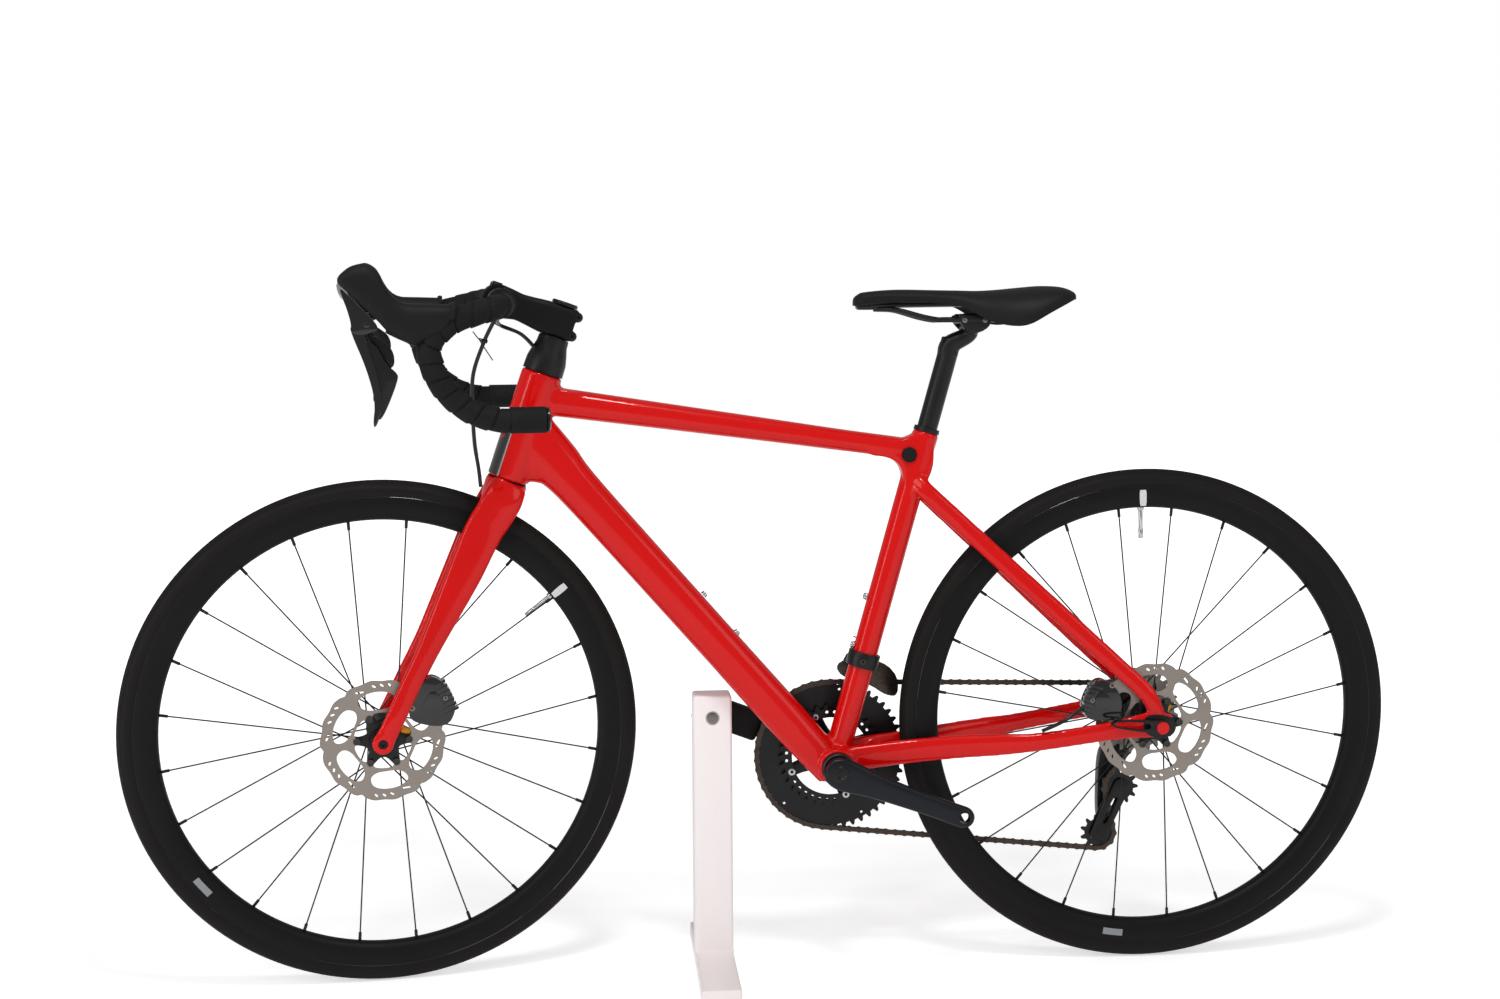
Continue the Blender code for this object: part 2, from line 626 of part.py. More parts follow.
def build_wheel(prefix, centre, flange_left, flange_right, hub_half_left, hub_half_right, rotor_y):
    rim_width = RIM_HALF_WIDTH
    tyre_base = 0.3065
    tyre = turned(f"{prefix}_tyre", [
        (tyre_base, -0.0085), (0.3140, -0.0095), (0.3245, -TYRE_HALF_WIDTH),
        (0.3315, -0.0095), (TYRE_RADIUS, 0.0), (0.3315, 0.0095), (0.3245, TYRE_HALF_WIDTH),
        (0.3140, 0.0095), (tyre_base, 0.0085)],
        centre, "rubber", steps=40, closed=True)
    rim = turned(f"{prefix}_rim", [
        (0.3060, -0.0092), (0.3138, -0.0100), (0.3138, -0.0120), (0.3000, -rim_width),
        (RIM_INNER_RADIUS, 0.0), (0.3000, rim_width),
        (0.3138, 0.0120), (0.3138, 0.0100), (0.3060, 0.0092)],
        centre, "satin_black", steps=40, closed=True)
    bore = AXLE_RADIUS + GAP
    flange = 0.0190
    hub = turned(f"{prefix}_hub", [
        (bore, -hub_half_left), (0.0105, -hub_half_left), (0.0150, flange_left - 0.006),
        (0.0180, flange_left - 0.0040), (0.0183, flange_left + 0.0040), (0.0120, flange_left + 0.008),
        (0.0120, flange_right - 0.008), (0.0183, flange_right - 0.0040), (0.0180, flange_right + 0.0040),
        (0.0105, flange_right + 0.0050), (0.0105, hub_half_right), (bore, hub_half_right)],
        centre, "satin_black", steps=20, closed=True)
    pieces = [tyre, rim, hub]
    for label, flange_y, turn in (("left", flange_left, 0.0), ("right", flange_right, math.pi / 12)):
        rim_y = math.copysign(0.0020, flange_y)
        mesh = wheel_star(flange + 0.0030, -flange_y, -rim_y, turn)
        star = add_object(f"{prefix}_spokes_{label}", mesh, "satin_black")
        star.location = centre
        star.rotation_euler = (math.radians(90), 0.0, 0.0)
        pieces.append(star)
    rotor_bore = 0.0178
    pieces.append(turned(f"{prefix}_rotor", [
        (rotor_bore, rotor_y - ROTOR_THICKNESS / 2), (ROTOR_RADIUS, rotor_y - ROTOR_THICKNESS / 2),
        (ROTOR_RADIUS, rotor_y + ROTOR_THICKNESS / 2), (rotor_bore, rotor_y + ROTOR_THICKNESS / 2)],
        centre, "steel", steps=32, closed=True))
    return pieces


# ---------------------------------------------------------------- drive train
def wrapped_path(wheels, offset):
    """Closed belt path round (centre, radius, sense) wheels, pushed outwards by an offset."""
    count = len(wheels)
    sized = [(Vector(centre), radius + sense * offset, sense) for centre, radius, sense in wheels]
    tangents = []
    for i in range(count):
        (c1, r1, s1), (c2, r2, s2) = sized[i], sized[(i + 1) % count]
        between = c2 - c1
        distance = between.length
        base = math.atan2(between.y, between.x)
        lean = math.asin((s1 * r1 - s2 * r2) / distance)
        angle = base - math.pi / 2 + lean
        normal = Vector((math.cos(angle), math.sin(angle)))
        tangents.append((c1 + normal * r1 * s1, c2 + normal * r2 * s2))
    path = []
    for i in range(count):
        centre, radius, sense = sized[i]
        arrive = tangents[i - 1][1] - centre
        leave = tangents[i][0] - centre
        start = math.atan2(arrive.y, arrive.x)
        sweep = (math.atan2(leave.y, leave.x) - start) * sense % math.tau * sense
        steps = max(2, math.ceil(abs(sweep) / math.radians(11)))
        for step in range(steps + 1):
            angle = start + sweep * step / steps
            path.append((centre.x + radius * math.cos(angle), centre.y + radius * math.sin(angle)))
    return path


def build_drive():
    ring = pitch_radius(OUTER_TEETH)
    cog = pitch_radius(COG_TEETH)
    pulley = pitch_radius(PULLEY_TEETH)
    circuit = [((REAR_AXLE_X, AXLE_Z), cog, 1), ((BB_X, BB_HEIGHT), ring, 1),
               (TENSION_PULLEY, pulley, 1), (GUIDE_PULLEY, pulley, -1)]
    loops = [wrapped_path(circuit, CHAIN_HALF_HEIGHT), wrapped_path(circuit, -CHAIN_HALF_HEIGHT)]
    plate("chain", loops, CHAIN_Y, 2 * CHAIN_HALF_WIDTH, "chain_steel")

    root = CHAIN_HALF_HEIGHT + 2 * GAP
    for name, radius, y in (("chainring_outer", ring - root, CHAIN_Y),
                            ("chainring_inner", pitch_radius(INNER_TEETH) - 0.0036, CHAIN_Y - 0.0075)):
        turned(name, [(0.049, y - 0.001), (radius, y - 0.001), (radius, y + 0.001), (0.049, y + 0.001)],
               BB, "satin_black", steps=32, closed=True)

    build_cassette(cog - root)
    for name, centre in (("guide_pulley", GUIDE_PULLEY), ("tension_pulley", TENSION_PULLEY)):
        turned(name, [(0.0028, -0.0020), (pulley - root, -0.0020), (pulley - root, 0.0020),
                      (0.0028, 0.0020)],
               (centre[0], CHAIN_Y, centre[1]), "satin_black", steps=24, closed=True)


def build_cassette(driven_root):
    """Stack of cogs on its freehub; the cog under the chain is cut down to its root."""
    y = CHAIN_Y
    bore = AXLE_RADIUS + GAP
    steps = [(bore, y - 5 * COG_STEP - 0.002), (0.0600, y - 5 * COG_STEP - 0.002),
             (0.0600, y - 4 * COG_STEP), (0.0520, y - 4 * COG_STEP), (0.0470, y - 2 * COG_STEP),
             (0.0405, y - COG_STEP - 0.0008), (0.0405, y - COG_STEP + 0.0004),
             (driven_root, y - COG_STEP + 0.0004), (driven_root, y + 0.0032),
             (0.0310, y + 0.0032), (0.0235, y + 5 * COG_STEP), (0.0150, y + 5 * COG_STEP + 0.0015),
             (bore, y + 5 * COG_STEP + 0.0015)]
    turned("cassette", steps, REAR_AXLE, "steel", steps=22, closed=True)


def crank_outline(direction, boss_radius, eye_radius):
    """Tapered arm in side view: a round boss, straight flanks and a round end."""
    base = math.degrees(math.atan2(direction[1], direction[0]))
    eye = (BB_X + direction[0] * CRANK_LENGTH, BB_HEIGHT + direction[1] * CRANK_LENGTH)
    return (arc((BB_X, BB_HEIGHT), boss_radius, base + 90, base + 270, 8)
            + arc(eye, eye_radius, base - 90, base + 90, 8)), eye


def build_cranks():
    forward = (-math.cos(CRANK_ANGLE), math.sin(CRANK_ANGLE))
    backward = (math.cos(CRANK_ANGLE), -math.sin(CRANK_ANGLE))
    middle = (ARM_INNER_Y + ARM_OUTER_Y) / 2
    width = ARM_OUTER_Y - ARM_INNER_Y
    axis = Vector((0, 1, 0))

    outline, eye = crank_outline(backward, 0.0200, 0.0140)
    left = plate("crank_arm_left", [outline], -middle, width, "anthracite")
    join(left, cylinder("left_boss", BB - axis * 0.0450, BB - axis * (middle), 0.0185))
    cut(left, cylinder("left_spindle_hole", BB - axis * 0.03, BB - axis * 0.0700, SPINDLE_RADIUS + GAP),
        cylinder("left_eye_hole", (eye[0], -0.04, eye[1]), (eye[0], -0.09, eye[1]), 0.0071, sides=16))

    outline, eye = crank_outline(forward, 0.0200, 0.0140)
    right = plate("crank_arm_right", [outline], middle, width, "anthracite")
    join(right, cylinder("spider", BB + axis * (CHAIN_Y + 0.0015), BB + axis * (CHAIN_Y + 0.0055), 0.0590,
                         sides=24),
         cylinder("right_boss", BB + axis * (CHAIN_Y + 0.0030), BB + axis * middle, 0.0190),
         cylinder("spindle", BB - axis * 0.0690, BB + axis * middle, SPINDLE_RADIUS))
    cut(right, cylinder("right_eye_hole", (eye[0], 0.04, eye[1]), (eye[0], 0.09, eye[1]), 0.0071,
                        sides=16))

    # rubber boot pushed over the end of the right arm, open towards the pedal axle's pin
    length = 0.094
    centre_radius = CRANK_LENGTH + 0.021 - length / 2
    boot_centre = BB + Vector((forward[0], 0, forward[1])) * centre_radius
    boot = block("crank_boot", boot_centre + axis * 0.0670, (length, 0.0180, 0.0420), "rubber",
                 tilt=CRANK_ANGLE)
    pocket, _ = crank_outline(forward, 0.0205, 0.0143)
    cut(boot, plate("boot_pocket", [pocket], middle, width + 2 * GAP),
        cylinder("boot_pin_hole", (eye[0], 0.04, eye[1]), (eye[0], 0.09, eye[1]), 0.0085, sides=16))


# ---------------------------------------------------------------- derailleurs and brakes
def build_derailleurs():
    # front: band round the seat tube, arm and a cage that straddles the chain
    band_centre = seat_axis(0.4185)
    up = Vector((SEAT_SLOPE, 0, 1)).normalized()
    band = cylinder("front_derailleur", band_centre - up * 0.010, band_centre + up * 0.010, 0.0215,
                    "anthracite", sides=24)
    arm = block("derailleur_arm", (0.2080, 0.0300, 0.4160), (0.020, 0.0250, 0.022))
    top, lower = 0.4130, 0.3600
    inner_y, outer_y = CHAIN_Y - 0.0060, CHAIN_Y + 0.0060
    skin = 0.0012
    cage_start, cage_end = 0.1740, 0.2540
    plates = []
    for name, y in (("cage_inner", inner_y), ("cage_outer", outer_y)):
        plates.append(plate(name, [[(cage_start, 0.3890), (cage_start, 0.4080), (0.2150, top),
                                    (cage_end, 0.3960), (cage_end + 0.004, lower),
                                    (cage_end - 0.014, lower), (0.2150, 0.3780)]], y, 2 * skin))
    roof = block("cage_roof", (0.2080, CHAIN_Y, 0.4050), (0.030, 2 * 0.0060, 0.004))
    join(band, arm, *plates, roof)
    cut(band, cylinder("band_bore", seat_axis(0.35), seat_axis(0.48), SEAT_TUBE_RADIUS + GAP, sides=24))

    # rear: knuckle on the dropout, slanted link and lower knuckle; the cage hangs behind
    knuckle = cylinder("rear_derailleur", (0.5930, 0.0797, 0.3120), (0.5930, 0.0930, 0.3120), 0.0105,
                       "satin_black", sides=20)
    guide = Vector((GUIDE_PULLEY[0], 0.0, GUIDE_PULLEY[1]))
    join(knuckle,
         block("derailleur_link", (0.5770, 0.0860, 0.2700), (0.022, 0.010, 0.095), tilt=math.radians(16)),
         cylinder("lower_knuckle", guide + Vector((0, 0.0560, 0)), guide + Vector((0, 0.0900, 0)), 0.0120,
                  sides=20))

    along = Vector((GUIDE_PULLEY[0] - TENSION_PULLEY[0], GUIDE_PULLEY[1] - TENSION_PULLEY[1])).normalized()
    lean = math.degrees(math.atan2(along.y, along.x))
    loop = (arc(GUIDE_PULLEY, 0.0090, lean - 90, lean + 90, 8)
            + arc(TENSION_PULLEY, 0.0090, lean + 90, lean + 270, 8))
    cage = plate("rear_derailleur_cage", [loop], CHAIN_Y + 0.0060, 0.0020, "satin_black")
    welds = [plate("inner_cage_plate", [loop], CHAIN_Y - 0.0060, 0.0020)]
    for name, centre in (("guide_bolt", GUIDE_PULLEY), ("tension_bolt", TENSION_PULLEY)):
        welds.append(cylinder(name, (centre[0], CHAIN_Y - 0.0060, centre[1]),
                              (centre[0], CHAIN_Y + 0.0060, centre[1]), 0.0025, sides=12))
    join(cage, *welds)


def build_rear_brake():
    gap = cylinder("rear_rotor_gap", REAR_AXLE + Vector((0, REAR_ROTOR_Y - 0.0016, 0)),
                   REAR_AXLE + Vector((0, REAR_ROTOR_Y + 0.0016, 0)), ROTOR_RADIUS + 0.0015, sides=40)
    outline = [(0.4865, 0.3460), (0.5480, 0.3540), (0.5430, 0.3720), (0.5200, 0.3900), (0.4900, 0.3900)]
    caliper = plate("rear_caliper", [outline], REAR_ROTOR_Y, 0.0260, "satin_black", bevel=0.003)
    cut(caliper, gap)

    cylinder("rear_axle", REAR_AXLE - Vector((0, 0.0830, 0)), REAR_AXLE + Vector((0, 0.0800, 0)),
             AXLE_RADIUS, "satin_black", sides=16)
    lever_y = -0.0900
    base = REAR_AXLE + Vector((0, lever_y, 0))
    reach = Vector((-0.0640, 0.0, 0.0060))
    lean = math.degrees(math.atan2(reach.z, reach.x))
    tip = (base.x + reach.x, base.z + reach.z)
    loop = arc((base.x, base.z), 0.0120, lean - 270, lean - 90, 10)
    loop += arc(tip, 0.0050, lean - 90, lean + 90, 6)
    lever = plate("rear_axle_lever", [loop], lever_y, 0.0070, "satin_black")
    slot = (arc((base.x + reach.x * 0.35, base.z + reach.z * 0.35), 0.0045, lean + 90, lean + 270, 5)
            + arc((base.x + reach.x * 0.88, base.z + reach.z * 0.88), 0.0028, lean - 90, lean + 90, 5))
    cut(lever, plate("lever_window", [slot], lever_y, 0.02))


# ---------------------------------------------------------------- seat
def build_seat():
    up = Vector((SEAT_SLOPE, 0, 1)).normalized()
    top = seat_axis(SEATPOST_TOP_Z - 0.006)
    post = cylinder("seatpost", seat_axis(SEATPOST_BOTTOM_Z), top, SEATPOST_RADIUS,
                    "satin_black", sides=24)
    rocker = Vector((0.3455, 0.0, 0.8620))
    rocker_radius = 0.0110
    neck = loft("seatpost_neck", [
        (top.x - 0.004, top.z - 0.020, 0.0, 0.0130, 0.0130),
        (top.x + 0.004, top.z + 0.002, 0.0, 0.0125, 0.0130),
        (rocker.x - 0.010, rocker.z - 0.0095, 0.0, 0.0085, 0.0140),
        (rocker.x, rocker.z, 0.0, 0.0085, 0.0140)], None)
    half_rocker = Vector((0, 0.0150, 0))
    join(post, neck, cylinder("seatpost_rocker", rocker - half_rocker, rocker + half_rocker, rocker_radius))

    rail_y, rail_z = 0.022, 0.8710
    half = [(0.4270, 0.030, 0.8840), (0.4130, 0.027, 0.8790), (0.3960, rail_y, rail_z),
            (0.3820, rail_y, rail_z), (0.3110, rail_y, rail_z), (0.2980, rail_y, rail_z),
            (0.2780, 0.020, 0.8750), (0.2450, 0.013, 0.8840), (0.2180, 0.004, 0.8855)]
    path = smooth_path(half + list(reversed(mirrored(half, -1))), 2)
    tube("saddle_rails", path, 0.0035, "steel")
    rail_gap = tube("rail_clearance", path, 0.0035 + GAP)

    clamp = block("saddle_clamp", (rocker.x + 0.001, 0, rail_z + 0.0015), (0.040, 0.058, 0.0140),
                  "satin_black", bevel=0.003)
    half_rocker = Vector((0, 0.0154, 0))
    cut(clamp, rail_gap, cylinder("rocker_clearance", rocker - half_rocker, rocker + half_rocker,
                                  rocker_radius + GAP))

    saddle_stations = [
        # x, top z, half width, edge z, underside z
        (0.1900, 0.8985, 0.0150, 0.8945, 0.8905),
        (0.2050, 0.9080, 0.0200, 0.8990, 0.8915),
        (0.2450, 0.9110, 0.0225, 0.9000, 0.8925),
        (0.3000, 0.9100, 0.0290, 0.8990, 0.8930),
        (0.3500, 0.9090, 0.0450, 0.8900, 0.8930),
        (0.4000, 0.9120, 0.0630, 0.8760, 0.8930),
        (0.4400, 0.9150, 0.0690, 0.8820, 0.8940),
        (0.4680, 0.9120, 0.0600, 0.8960, 0.8960),
        (0.4790, 0.9060, 0.0450, 0.9000, 0.9000)]
    bm = bmesh.new()
    rings = []
    for x, crest, half_width, edge, under in saddle_stations:
        shoulder = crest - (crest - edge) * 0.25
        ring = [(0.0, crest), (half_width * 0.45, crest - 0.001), (half_width * 0.85, shoulder),
                (half_width, edge), (half_width * 0.85, edge - 0.003), (half_width * 0.45, under),
                (0.0, under)]
        ring += [(-y, z) for y, z in reversed(ring[1:-1])]
        rings.append([bm.verts.new((x, y, z)) for y, z in ring])
    for front, back in zip(rings, rings[1:]):
        for i in range(len(front)):
            j = (i + 1) % len(front)
            bm.faces.new((front[i], front[j], back[j], back[i]))
    bm.faces.new(rings[0])
    bm.faces.new(rings[-1])
    saddle = add_object("saddle", mesh_from(bm, "saddle"), "tape")
    cut(saddle, rail_gap)


# ---------------------------------------------------------------- stand
def build_stand():
    """Square post welded onto a flat foot, with the bolt that holds the pedal eye."""
    foot = block("stand", (0, 0, STAND_FOOT_HEIGHT / 2),
                 (STAND_WIDTH, 2 * STAND_FOOT_HALF, STAND_FOOT_HEIGHT), "white_paint", bevel=0.002)
    pin = Vector((0.0, 0.0, BB_HEIGHT + CRANK_LENGTH * math.sin(CRANK_ANGLE)))
    bottom = STAND_FOOT_HEIGHT / 2
    post = block("stand_post", (0, (STAND_POST_NEAR + STAND_POST_FAR) / 2, (STAND_POST_TOP + bottom) / 2),
                 (STAND_WIDTH - 2 * GAP, STAND_POST_FAR - STAND_POST_NEAR, STAND_POST_TOP - bottom),
                 bevel=0.004)
    join(foot, post)
    cut(foot, cylinder("post_pin_hole", pin, pin + Vector((0, 0.1, 0)), PIN_RADIUS + GAP, sides=16))
    cylinder("stand_pin", pin + Vector((0, STAND_POST_NEAR - 0.0015, 0)), pin + Vector((0, PIN_END_Y, 0)),
             PIN_RADIUS, "steel", sides=16)


# ---------------------------------------------------------------- assembly
def steer(pieces):
    """Hang the steered pieces from an empty on the steering axis and turn it to rest."""
    pivot = bpy.data.objects.new("steering_axis", None)
    PARTS.objects.link(pivot)
    pivot.location = HEAD_BOTTOM
    bpy.context.view_layer.update()
    for piece in pieces:
        world = piece.matrix_world.copy()
        piece.parent = pivot
        piece.matrix_parent_inverse = pivot.matrix_world.inverted()
        piece.matrix_world = world
    pivot.rotation_mode = 'AXIS_ANGLE'
    pivot.rotation_axis_angle = (STEER_AT_REST, *STEER_UP)


def main():
    build_frame()
    front_gap = cylinder("front_rotor_gap", FRONT_AXLE + Vector((0, FRONT_ROTOR_Y - 0.0016, 0)),
                         FRONT_AXLE + Vector((0, FRONT_ROTOR_Y + 0.0016, 0)), ROTOR_RADIUS + 0.0015,
                         sides=40)
    bar_path, bar_radii = build_bar()
    handlebar = tube("handlebar", bar_path, BAR_RADIUS, "tape", bar_radii)
    bar_gap = tube("bar_clearance", bar_path, BAR_RADIUS + GAP, None, bar_radii)
    steered = [handlebar, front_gap, bar_gap]
    steered += build_fork(front_gap) + build_stem(bar_gap) + build_controls(bar_gap)
    steered += build_wheel("front", FRONT_AXLE, -0.0300, 0.0300, FRONT_HUB_HALF - GAP,
                           FRONT_HUB_HALF - GAP, FRONT_ROTOR_Y)
    build_wheel("rear", REAR_AXLE, -0.0340, 0.0180, REAR_HUB_HALF - GAP, 0.0245, REAR_ROTOR_Y)
    build_drive()
    build_cranks()
    build_derailleurs()
    build_rear_brake()
    build_seat()
    build_stand()
    cutter_names = {cutter.name for cutter in CUTTERS.objects}
    for piece in steered:
        for modifier in piece.modifiers:
            if modifier.type == 'BOOLEAN' and modifier.object.name in cutter_names:
                if modifier.object not in steered:
                    steered.append(modifier.object)
    steer(steered)


main()
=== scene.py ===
"""Looks of the road bicycle on its crank stand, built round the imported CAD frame.

Metres, +Z up.  The bicycle faces -X and its left side faces -Y.  Pieces that steer are
modelled straight ahead and their meshes are then turned to the parked angle.
"""
import math

import bpy
import numpy as np
from mathutils import Matrix, Vector


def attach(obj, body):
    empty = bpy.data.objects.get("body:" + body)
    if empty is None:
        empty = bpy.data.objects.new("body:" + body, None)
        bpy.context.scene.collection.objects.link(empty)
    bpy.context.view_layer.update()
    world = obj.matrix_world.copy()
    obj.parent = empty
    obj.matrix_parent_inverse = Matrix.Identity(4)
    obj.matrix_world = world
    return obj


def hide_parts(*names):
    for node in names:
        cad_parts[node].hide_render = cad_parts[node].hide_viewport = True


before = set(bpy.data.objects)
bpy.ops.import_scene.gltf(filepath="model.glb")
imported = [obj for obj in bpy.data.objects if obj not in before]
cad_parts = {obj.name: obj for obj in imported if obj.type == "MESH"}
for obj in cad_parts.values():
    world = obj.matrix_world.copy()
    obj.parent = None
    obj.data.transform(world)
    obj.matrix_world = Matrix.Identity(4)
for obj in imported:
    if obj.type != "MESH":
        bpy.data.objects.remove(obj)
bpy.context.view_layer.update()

# ---------------------------------------------------------------- driving dimensions
HEAD_ANGLE = math.radians(71.0)
HEAD_BOTTOM = Vector((-0.267, 0.0, 0.666))
HEAD_LENGTH = 0.1475
HEAD_RADIUS = 0.0268
STEER_AT_REST = 0.1203
STEER_UP = Vector((math.cos(HEAD_ANGLE), 0.0, math.sin(HEAD_ANGLE)))
STEER_FRONT = Vector((-math.sin(HEAD_ANGLE), 0.0, math.cos(HEAD_ANGLE)))
PARKED = (Matrix.Translation(HEAD_BOTTOM) @ Matrix.Rotation(STEER_AT_REST, 4, STEER_UP)
          @ Matrix.Translation(-HEAD_BOTTOM))

REAR_AXLE = Vector((0.5861, 0.0, 0.335))
FRONT_AXLE = Vector((-0.4351, 0.0, REAR_AXLE.z))
BB = Vector((0.16338, 0.0, 0.279))
SEAT_SLOPE = 0.2788
SEAT_UP = Vector((SEAT_SLOPE, 0.0, 1.0)).normalized()
ACROSS = Vector((0.0, 1.0, 0.0))

FRONT_ROTOR_Y, REAR_ROTOR_Y = -0.0395, -0.0557
ROTOR_BOLT_CIRCLE = 0.0332
SPOKES_A_SIDE = 12
SPOKE_CIRCLE_HUB, SPOKE_CIRCLE_RIM = 0.0196, 0.2850

CHAIN_Y = 0.0465
LINK_PITCH = 0.0127
COG_STEP = 0.00375
OUTER_TEETH, INNER_TEETH, CHAIN_COG_TEETH, PULLEY_TEETH = 50, 34, 17, 11
GUIDE_PULLEY = Vector((0.5695, CHAIN_Y, 0.224))
TENSION_PULLEY = Vector((0.5385, CHAIN_Y, 0.160))
CRANK_LENGTH = 0.175
CRANK_ANGLE = math.radians(21.0)
CRANK_BACK = Vector((math.cos(CRANK_ANGLE), 0.0, -math.sin(CRANK_ANGLE)))
ARM_Y = 0.067

BAR_HALF = 0.205
BAR_RADIUS = 0.0159
TAPE_RADIUS = 0.0146
TAPE_PITCH = 0.021
DROP_END = Vector((-0.2320, 0.0, 0.7610))
STEM_HEIGHT = 0.218
STEM_REACH = 0.084
SADDLE_CLAMP_X = 0.3465
STAND_PIN_Z = 0.3417


# ---------------------------------------------------------------- operators
def rest_all():
    """Leave edit mode and select nothing."""
    if bpy.context.object and bpy.context.object.mode != 'OBJECT':
        bpy.ops.object.mode_set(mode='OBJECT')
    bpy.ops.object.select_all(action='DESELECT')


def take(*pieces):
    """Select the pieces, the first of them active."""
    rest_all()
    for piece in pieces:
        piece.select_set(True)
    bpy.context.view_layer.objects.active = pieces[0]
    return pieces[0]


def shape(piece, *steps):
    """Run edit-mode operators on all of a piece; a step is (operator, settings)."""
    take(piece)
    bpy.ops.object.mode_set(mode='EDIT')
    bpy.ops.mesh.select_all(action='SELECT')
    for operator, settings in steps:
        operator(**settings)
    bpy.ops.object.mode_set(mode='OBJECT')
    return piece


def tidy_shell(piece, distance=0.00001):
    """Merge doubles and turn the faces outwards."""
    return shape(piece,
                 (bpy.ops.mesh.remove_doubles, {"threshold": distance}),
                 (bpy.ops.mesh.normals_make_consistent, {"inside": False}))


def apply(piece, kind, **settings):
    """Add a modifier to a piece and apply it."""
    take(piece)
    modifier = piece.modifiers.new(kind.lower(), kind)
    for key, value in settings.items():
        setattr(modifier, key, value)
    bpy.ops.object.modifier_apply(modifier=modifier.name)
    return piece


def join(name, *pieces):
    """Gather separate solids into one object."""
    take(*pieces)
    if len(pieces) > 1:
        bpy.ops.object.join()
    pieces[0].name = name
    return pieces[0]


def bore(piece, *cutters, solver='EXACT'):
    """Cut the cutters out of a piece and use them up."""
    for cutter in cutters:
        apply(piece, 'BOOLEAN', operation='DIFFERENCE', object=cutter, solver=solver)
        bpy.data.objects.remove(cutter)
    return piece


def place(piece, matrix):
    """Move a piece's mesh, its object staying at the origin."""
    piece.data.transform(matrix)
    piece.data.update()
    return piece


def aim(direction, side=ACROSS):
    """Rotation whose Z is the direction and whose Y is as near the side as it can be."""
    z = Vector(direction).normalized()
    if abs(z.dot(side)) > 0.999:
        side = Vector((1, 0, 0))
    x = side.cross(z).normalized()
    return Matrix((x, z.cross(x), z)).transposed().to_4x4()


# ---------------------------------------------------------------- shapes
def rod(name, start, end, radius, sides=24, chamfer=0.0, end_radius=None):
    """Round bar between two points, with its rims broken."""
    start, end = Vector(start), Vector(end)
    bpy.ops.mesh.primitive_cone_add(vertices=sides, radius1=radius,
                                    radius2=radius if end_radius is None else end_radius,
                                    depth=(end - start).length)
    piece = take(bpy.context.object)
    piece.name = name
    if chamfer:
        apply(piece, 'BEVEL', width=chamfer, segments=2, limit_method='ANGLE', angle_limit=1.0)
    return place(piece, Matrix.Translation((start + end) / 2) @ aim(end - start))


def block(name, centre, size, radius=0.001, tilt=0.0, segments=3):
    """Cuboid with rounded edges, tilted about Y."""
    bpy.ops.mesh.primitive_cube_add(size=1.0)
    piece = take(bpy.context.object)
    piece.name = name
    place(piece, Matrix.Diagonal((*size, 1.0)))
    apply(piece, 'BEVEL', width=radius, segments=segments, limit_method='ANGLE')
    return place(piece, Matrix.Translation(centre) @ Matrix.Rotation(tilt, 4, 'Y'))


def turned(name, profile, centre=(0, 0, 0), steps=96, along=ACROSS):
    """Spin a closed outline of (radius, height) points round a line through the centre."""
    bpy.ops.mesh.primitive_circle_add(vertices=len(profile), radius=1.0, fill_type='NOTHING')
    piece = take(bpy.context.object)
    piece.name = name
    for vertex, (radius, height) in zip(piece.data.vertices, profile):
        vertex.co = (radius, 0.0, height)
    shape(piece,
          (bpy.ops.mesh.spin, {"steps": steps, "angle": math.tau, "center": (0, 0, 0), "axis": (0, 0, 1)}),
          (bpy.ops.mesh.remove_doubles, {"threshold": 0.000005}),
          (bpy.ops.mesh.delete_loose, {}),
          (bpy.ops.mesh.select_all, {"action": 'SELECT'}),
          (bpy.ops.mesh.normals_make_consistent, {"inside": False}))
    return place(piece, Matrix.Translation(centre) @ aim(along))


def outline_curve(name, loops, thickness):
    """Flat filled curve of closed loops, given its thickness."""
    curve = bpy.data.curves.new(name, 'CURVE')
    curve.dimensions = '2D'
    curve.fill_mode = 'BOTH'
    curve.extrude = thickness / 2
    for points in loops:
        spline = curve.splines.new('POLY')
        spline.points.add(len(points) - 1)
        spline.use_cyclic_u = True
        for point, (x, z) in zip(spline.points, points):
            point.co = (x, z, 0.0, 1.0)
    piece = bpy.data.objects.new(name, curve)
    bpy.context.scene.collection.objects.link(piece)
    return piece


def plate(name, loops, y, thickness, radius=0.0, segments=2):
    """Plate drawn in X and Z, its holes among the loops, its middle at y, its edges rounded."""
    piece = take(outline_curve(name, loops, thickness))
    bpy.ops.object.convert(target='MESH')
    piece = bpy.context.object
    tidy_shell(piece)
    place(piece, Matrix.Translation((0, y, 0)) @ Matrix.Rotation(math.pi / 2, 4, 'X'))
    if radius:
        apply(piece, 'BEVEL', width=radius, segments=segments, limit_method='ANGLE', angle_limit=0.7)
    return piece


def through(points, steps):
    """Smooth curve through rows of numbers."""
    rows = np.array(points, float)
    ends = np.vstack([2 * rows[0] - rows[1], rows, 2 * rows[-1] - rows[-2]])
    found = []
    for before, start, end, after in zip(ends, ends[1:], ends[2:], ends[3:]):
        for t in np.arange(steps) / steps:
            found.append(0.5 * (2 * start + (end - before) * t
                                + (2 * before - 5 * start + 4 * end - after) * t ** 2
                                + (3 * start - before - 3 * end + after) * t ** 3))
    found.append(rows[-1])
    return np.array(found)


